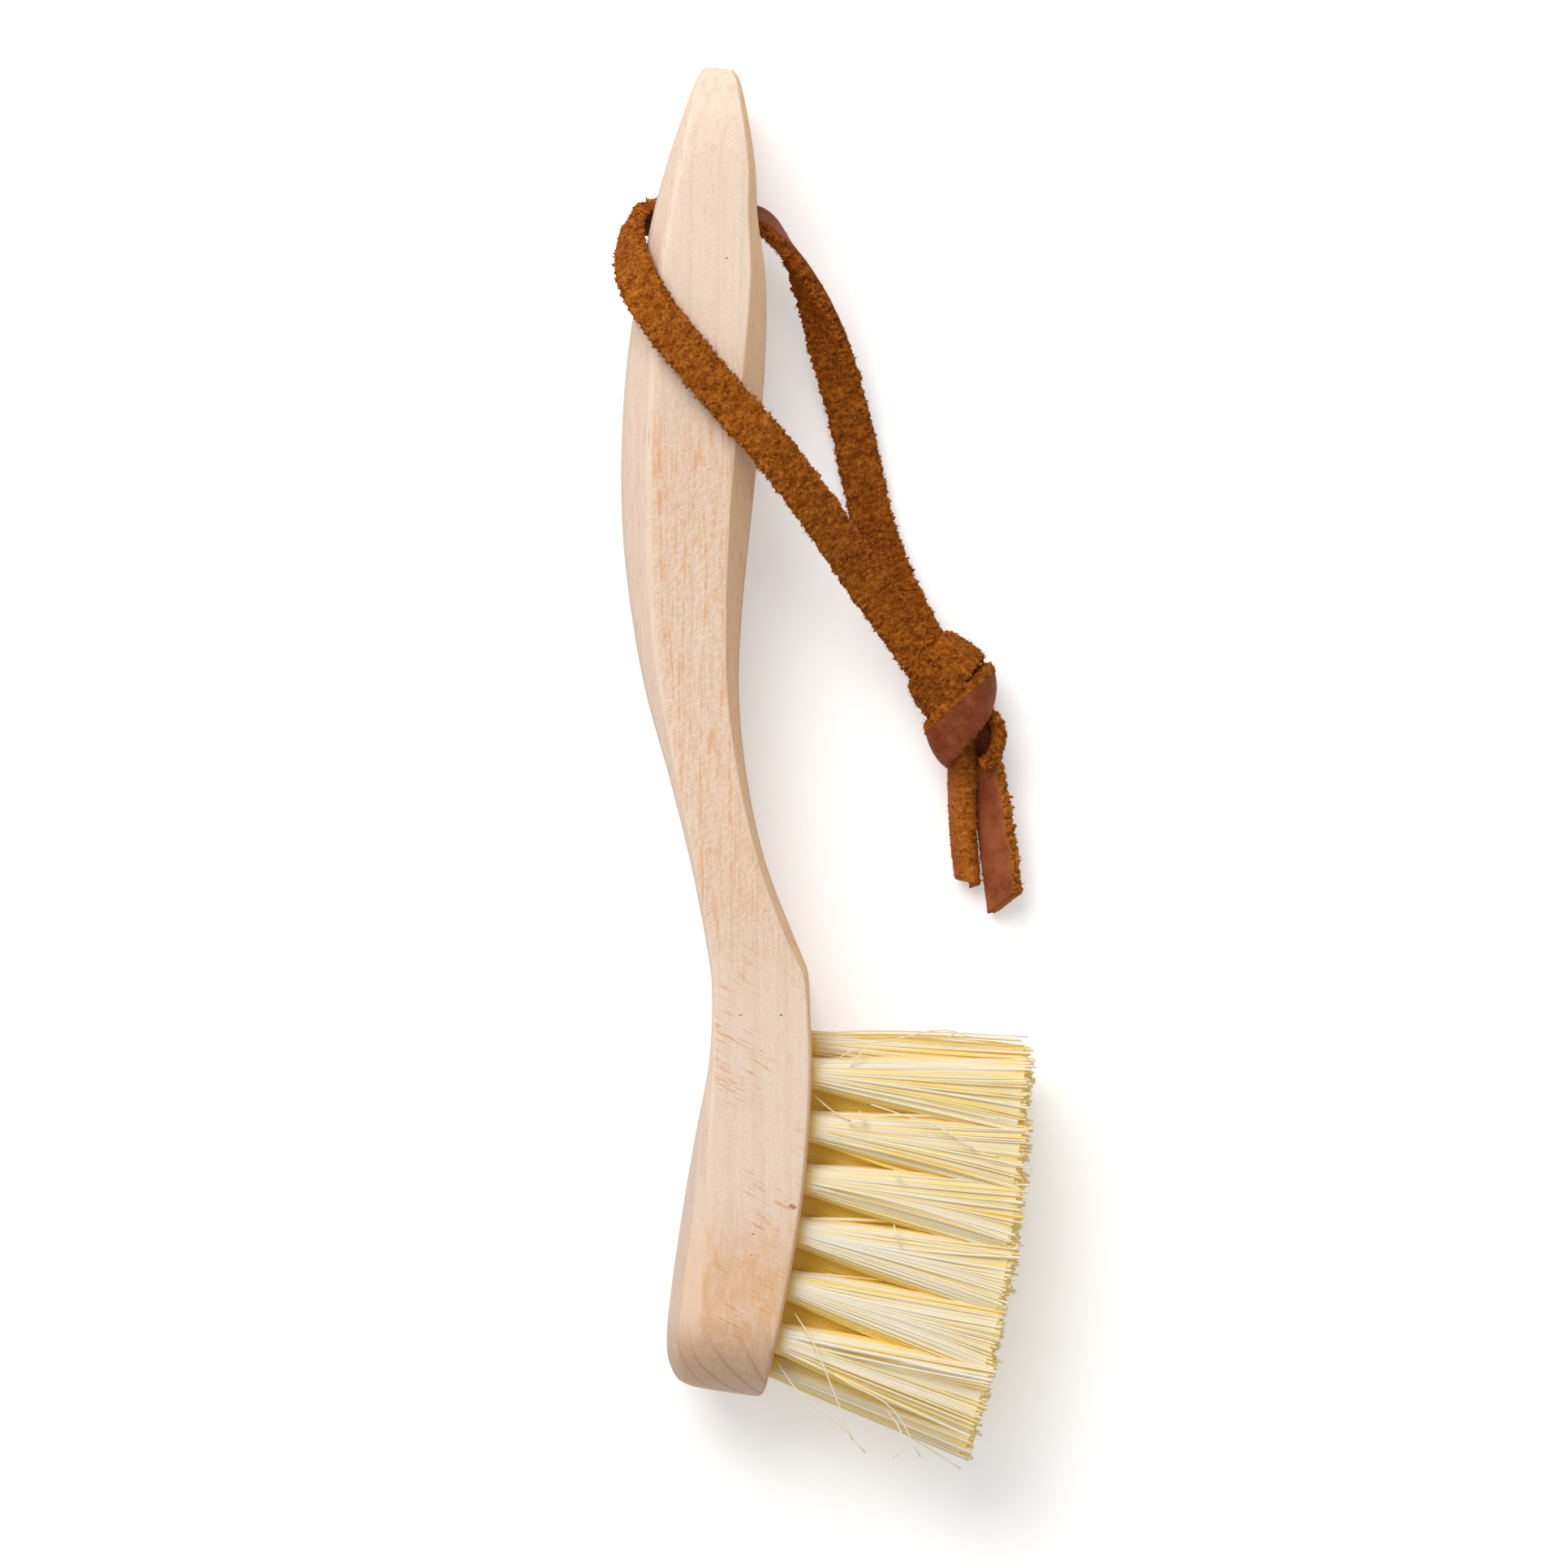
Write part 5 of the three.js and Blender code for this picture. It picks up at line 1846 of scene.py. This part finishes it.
@dataclass
class LeatherLace:
    """The lace: two legs from the hole to the knot, the knot, and two tails."""

    finish: LeatherFinish
    width: float = LACE_WIDTH
    curled_width: float = 4.4  # width of the curled tail
    # Places where the two legs leave the wood.
    mouths: tuple[Triple, Triple] = ((-7.3, -17.7, 10.0), (5.2, -17.7, 10.0))
    # Route of the leg that leaves the back of the handle and crosses its side.
    back_leg: Route = (
        ((-1.2, 0.0, 0.0), (0.0, -0.2, -1.0)), ((-4.2, 0.0, 0.0), (0.0, 0.4, -0.9)),
        ((-7.2, 0.1, 0.1), (-0.1, 0.7, -0.7)), ((-8.9, -0.1, 1.2), (-0.6, 0.7, -0.3)),
        ((-9.8, -1.8, 3.8), (-0.9, 0.3, 0.2)), ((-9.8, -4.7, 7.0), (-0.8, 0.1, 0.6)),
        ((-9.0, -7.7, 9.8), (-0.5, 0.1, 0.9)), ((-7.2, -11.0, 11.4), (-0.1, 0.0, 1.0)),
        ((-4.0, -15.3, 11.7), (0.0, 0.0, 1.0)), ((1.9, -22.2, 11.6), (0.0, 0.0, 1.0)),
        ((6.6, -27.5, 10.7), (0.0, 0.0, 1.0)), ((11.6, -33.9, 7.6), (0.0, 0.0, 1.0)),
        ((16.2, -40.5, 3.2), (0.0, 0.0, 1.0)), ((20.6, -46.7, -0.4), (0.1, 0.0, 1.0)),
        ((24.2, -51.6, -2.5), (0.1, 0.0, 1.0)), ((27.2, -55.7, -3.4), (0.1, 0.0, 1.0)),
    )
    # Route of the leg that leaves the front.
    front_leg: Route = (
        ((-0.9, 0.0, 0.0), (0.0, -0.2, -1.0)), ((2.4, 0.0, 0.0), (0.0, -0.7, -0.7)),
        ((5.4, -0.3, 0.0), (0.0, -0.9, -0.4)), ((7.7, -2.4, -0.4), (-0.5, -0.8, -0.2)),
        ((9.8, -5.4, -1.4), (-0.8, -0.6, 0.1)), ((11.6, -9.1, -3.0), (-0.8, -0.3, 0.5)),
        ((13.3, -13.9, -5.0), (-0.5, -0.1, 0.9)), ((15.3, -20.3, -7.0), (-0.2, 0.0, 1.0)),
        ((17.0, -27.3, -8.3), (0.0, 0.0, 1.0)), ((18.4, -33.7, -8.6), (0.1, 0.0, 1.0)),
        ((20.1, -39.7, -8.5), (0.1, 0.0, 1.0)), ((22.6, -45.5, -7.8), (0.1, 0.0, 1.0)),
        ((25.2, -50.5, -6.6), (0.1, 0.0, 1.0)), ((27.7, -54.9, -6.1), (0.1, 0.0, 1.0)),
    )
    # Route of the curled tail.
    tail_left: Route = (
        ((29.4, -59.5, -4.6), (0.2, 0.0, 1.0)), ((29.7, -63.5, -5.0), (0.1, 0.0, 1.0)),
        ((29.6, -68.3, -6.1), (0.0, 0.0, 1.0)), ((29.8, -73.9, -6.9), (0.0, 0.0, 1.0)),
        ((30.3, -78.9, -7.4), (0.0, 0.0, 1.0)),
    )
    # Route of the flat tail.
    tail_right: Route = (
        ((32.0, -64.1, -6.6), (0.6, 0.0, -0.8)), ((32.6, -66.9, -7.0), (0.7, 0.0, -0.7)),
        ((33.2, -69.7, -7.2), (0.7, 0.0, -0.7)), ((34.0, -75.7, -7.3), (0.7, 0.0, -0.7)),
        ((34.7, -81.5, -7.4), (0.7, 0.0, -0.7)),
    )
    # Route of the loop of the knot that the flat tail comes out of.
    loop: Route = (
        ((31.4, -58.2, -5.4), (0.3, 0.9, 0.0)), ((33.4, -59.7, -5.4), (0.9, 0.5, 0.0)),
        ((33.8, -62.0, -5.4), (1.0, -0.1, 0.0)), ((32.8, -64.3, -5.4), (0.7, -0.7, 0.0)),
        ((31.7, -64.9, -5.4), (0.3, -0.9, 0.0)),
    )
    # Route of the stretch of lace inside that loop.
    under: Route = (
        ((30.2, -59.6, -5.8), (0.5, 0.0, -0.9)), ((31.4, -62.0, -6.2), (0.5, 0.0, -0.9)),
        ((32.4, -64.4, -6.6), (0.5, 0.0, -0.9)),
    )

    def knot_skin(self) -> Skin:
        """The knot: a turn with the rough side out, one with the smooth side out, the loop and its inside.

        Returns:
            The strips as one skin.
        """
        upper = LaceStrip.turn((27.2, -54.0, -4.3), -37.5, (3.95, 4.3), (-18.0, -4.0), Outside.ROUGH,
                               lead=0.4, width=5.3, curl=(0.10, 0.10), paler=-0.2, seed=31)
        lower = LaceStrip.turn((29.2, -58.4, -4.3), -50.5, (4.6, 4.0), (-15.0, 38.0), Outside.SMOOTH,
                               lead=1.5, width=5.2, curl=(-0.16, -0.16), lip=1.3, seed=32)
        loop = LaceStrip.along(self.loop, thickness=1.7, seed=33)
        under = LaceStrip.along(self.under, thickness=1.6, seed=34)
        return upper.skin().joined(lower.skin()).joined(loop.skin()).joined(under.skin())

    def build(self, datum: Datum) -> list[Piece]:
        """Builds the lace.

        Args:
            datum: place of the maker's frame.

        Returns:
            The pieces.
        """
        material = self.finish.material()
        tail_left = LaceStrip.along(self.tail_left, width=self.curled_width, thickness=1.4, curl=(0.75, 1.2),
                                    slant=-0.45, worn=0.7, paler=0.55, seed=23)
        tail_right = LaceStrip.along(self.tail_right, slant=-0.45, paler=0.7, seed=24)
        strips = {
            "lace_back": (LaceStrip.along(self.back_leg, paler=0.12, seed=21), "lace_back_leg"),
            "lace_front": (LaceStrip.along(self.front_leg, paler=-0.1, seed=22), "lace_front_leg"),
            "lace_end_left": (tail_left, "lace_tail_left"),
            "lace_end_right": (tail_right, "lace_tail_right"),
        }
        made: dict[str, Piece] = {}
        for name, (strip, node) in strips.items():
            made[name] = self.dress(strip.skin().piece(name, datum, material), node)
        made["lace_turns"] = self.dress(self.knot_skin().piece("lace_turns", datum, material), "lace_knot")
        ends = [made[name] for name in ("lace_turns", "lace_end_left", "lace_end_right")]
        for name, mouth, pieces in (("lace_back", self.mouths[0], ends), ("lace_front", self.mouths[1], [])):
            path = datum.metres(strips[name][0].centres)
            exit_at = tuple(datum.metres(np.array(mouth)).tolist())
            self.width * MM
            path[::8].tolist() + [path[-1].tolist()]
        return list(made.values())

    def dress(self, piece: Piece, node: str) -> Piece:
        """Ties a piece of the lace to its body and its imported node.

        Args:
            piece: the piece.
            node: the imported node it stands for.

        Returns:
            The same piece.
        """
        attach(piece, Body.LOOP.value)
        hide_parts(node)
        return piece


@dataclass
class Studio:
    """Camera straight above, a pale floor and soft light from the upper left."""

    middle: Pair = (-0.00477, -0.00284)  # place under the camera, in metres
    view_width: float = 0.1865  # width of the view at the height of the middle of the wood
    height: float = 1.2
    sensor: float = 36.0  # width of the camera's sensor in millimetres
    view_limit: float = 10.0  # distance up to which the camera sees
    floor_reach: float = 3.0  # distance from the middle of the floor to its sides
    floor_colour: Colour = (0.97, 0.97, 0.97, 1.0)
    floor_rough: float = 0.9  # how dull the floor is
    floor_lift: float = 0.3  # brightness that the floor adds in the picture, so that it shows white
    sky: float = 0.45  # brightness of the even light from all round
    key_power: float = 12.2  # power of the lamp in watts
    key_place: Triple = (-0.40, 0.77, 0.90)  # place of the lamp in metres
    key_size: float = 0.9  # side of the lamp in metres
    key_aim: float = 0.01  # height of the point that the lamp points at

    def camera(self) -> None:
        """Places the camera, with a lens that shows the view's width at the middle of the wood."""
        data = bpy.data.cameras.new("camera")
        data.sensor_width = self.sensor
        data.lens = self.sensor * (self.height - MIDDLE_HEIGHT * MM) / self.view_width
        data.clip_end = self.view_limit
        camera = bpy.data.objects.new("camera", data)
        camera.location = (*self.middle, self.height)
        bpy.context.scene.collection.objects.link(camera)
        bpy.context.scene.camera = camera

    def light(self) -> None:
        """Hangs a square soft lamp that points at the brush, in even light from all round."""
        data = bpy.data.lights.new("key", "AREA")
        data.size = self.key_size
        data.energy = self.key_power
        lamp = bpy.data.objects.new("key", data)
        aim = Vector((*self.middle, self.key_aim)) - Vector(self.key_place)
        turned = aim.to_track_quat("-Z", "Y").to_matrix().to_4x4()
        lamp.matrix_world = Matrix.Translation(self.key_place) @ turned
        bpy.context.scene.collection.objects.link(lamp)
        world = bpy.data.worlds.new("sky")
        world.use_nodes = True
        background = world.node_tree.nodes["Background"]
        background.inputs["Color"].default_value = WHITE
        background.inputs["Strength"].default_value = self.sky
        bpy.context.scene.world = world

    def build(self) -> None:
        """Builds the floor and the light and sets the plain view of colours."""
        bpy.context.scene.view_settings.view_transform = "Standard"
        self.light()
        reach = self.floor_reach
        corners = [(-reach, -reach, 0), (reach, -reach, 0), (reach, reach, 0), (-reach, reach, 0)]
        mesh = bpy.data.meshes.new("floor")
        mesh.from_pydata(corners, [], [(0, 1, 2, 3)])
        sketch = Sketch("floor_paper")
        seen = sketch.add("ShaderNodeLightPath", "Is Camera Ray")
        for ray in ("Is Glossy Ray", "Is Transmission Ray"):
            seen = sketch.reckon("MAXIMUM", seen, sketch.add("ShaderNodeLightPath", ray))
        sketch.surface({"Base Color": self.floor_colour, "Roughness": self.floor_rough,
                        "Specular IOR Level": 0.0, "Emission Color": WHITE,
                        "Emission Strength": seen * self.floor_lift})
        mesh.materials.append(sketch.material)
        floor = bpy.data.objects.new("floor", mesh)
        bpy.context.scene.collection.objects.link(floor)


def main() -> None:
    """Builds the brush, piece by piece, with its camera, light and floor, and logs counts of some of its
    parts.
    """
    logging.basicConfig(level=logging.INFO, format="%(message)s")
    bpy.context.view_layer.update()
    outline = Outline()
    datum = Datum.of_wood(outline)
    studio = Studio()
    studio.camera()
    LeatherLace(LeatherFinish()).build(datum)
    tufts = TuftField(outline, FibreFinish())
    tufts.build(datum)
    tufts.dress_anchors(WireFinish())
    StrayFibres(FibreFinish()).build(datum)
    WoodenBody(outline, tufts.seats(), WoodFinish()).build(datum)
    studio.build()


if __name__ == "__main__":
    main()
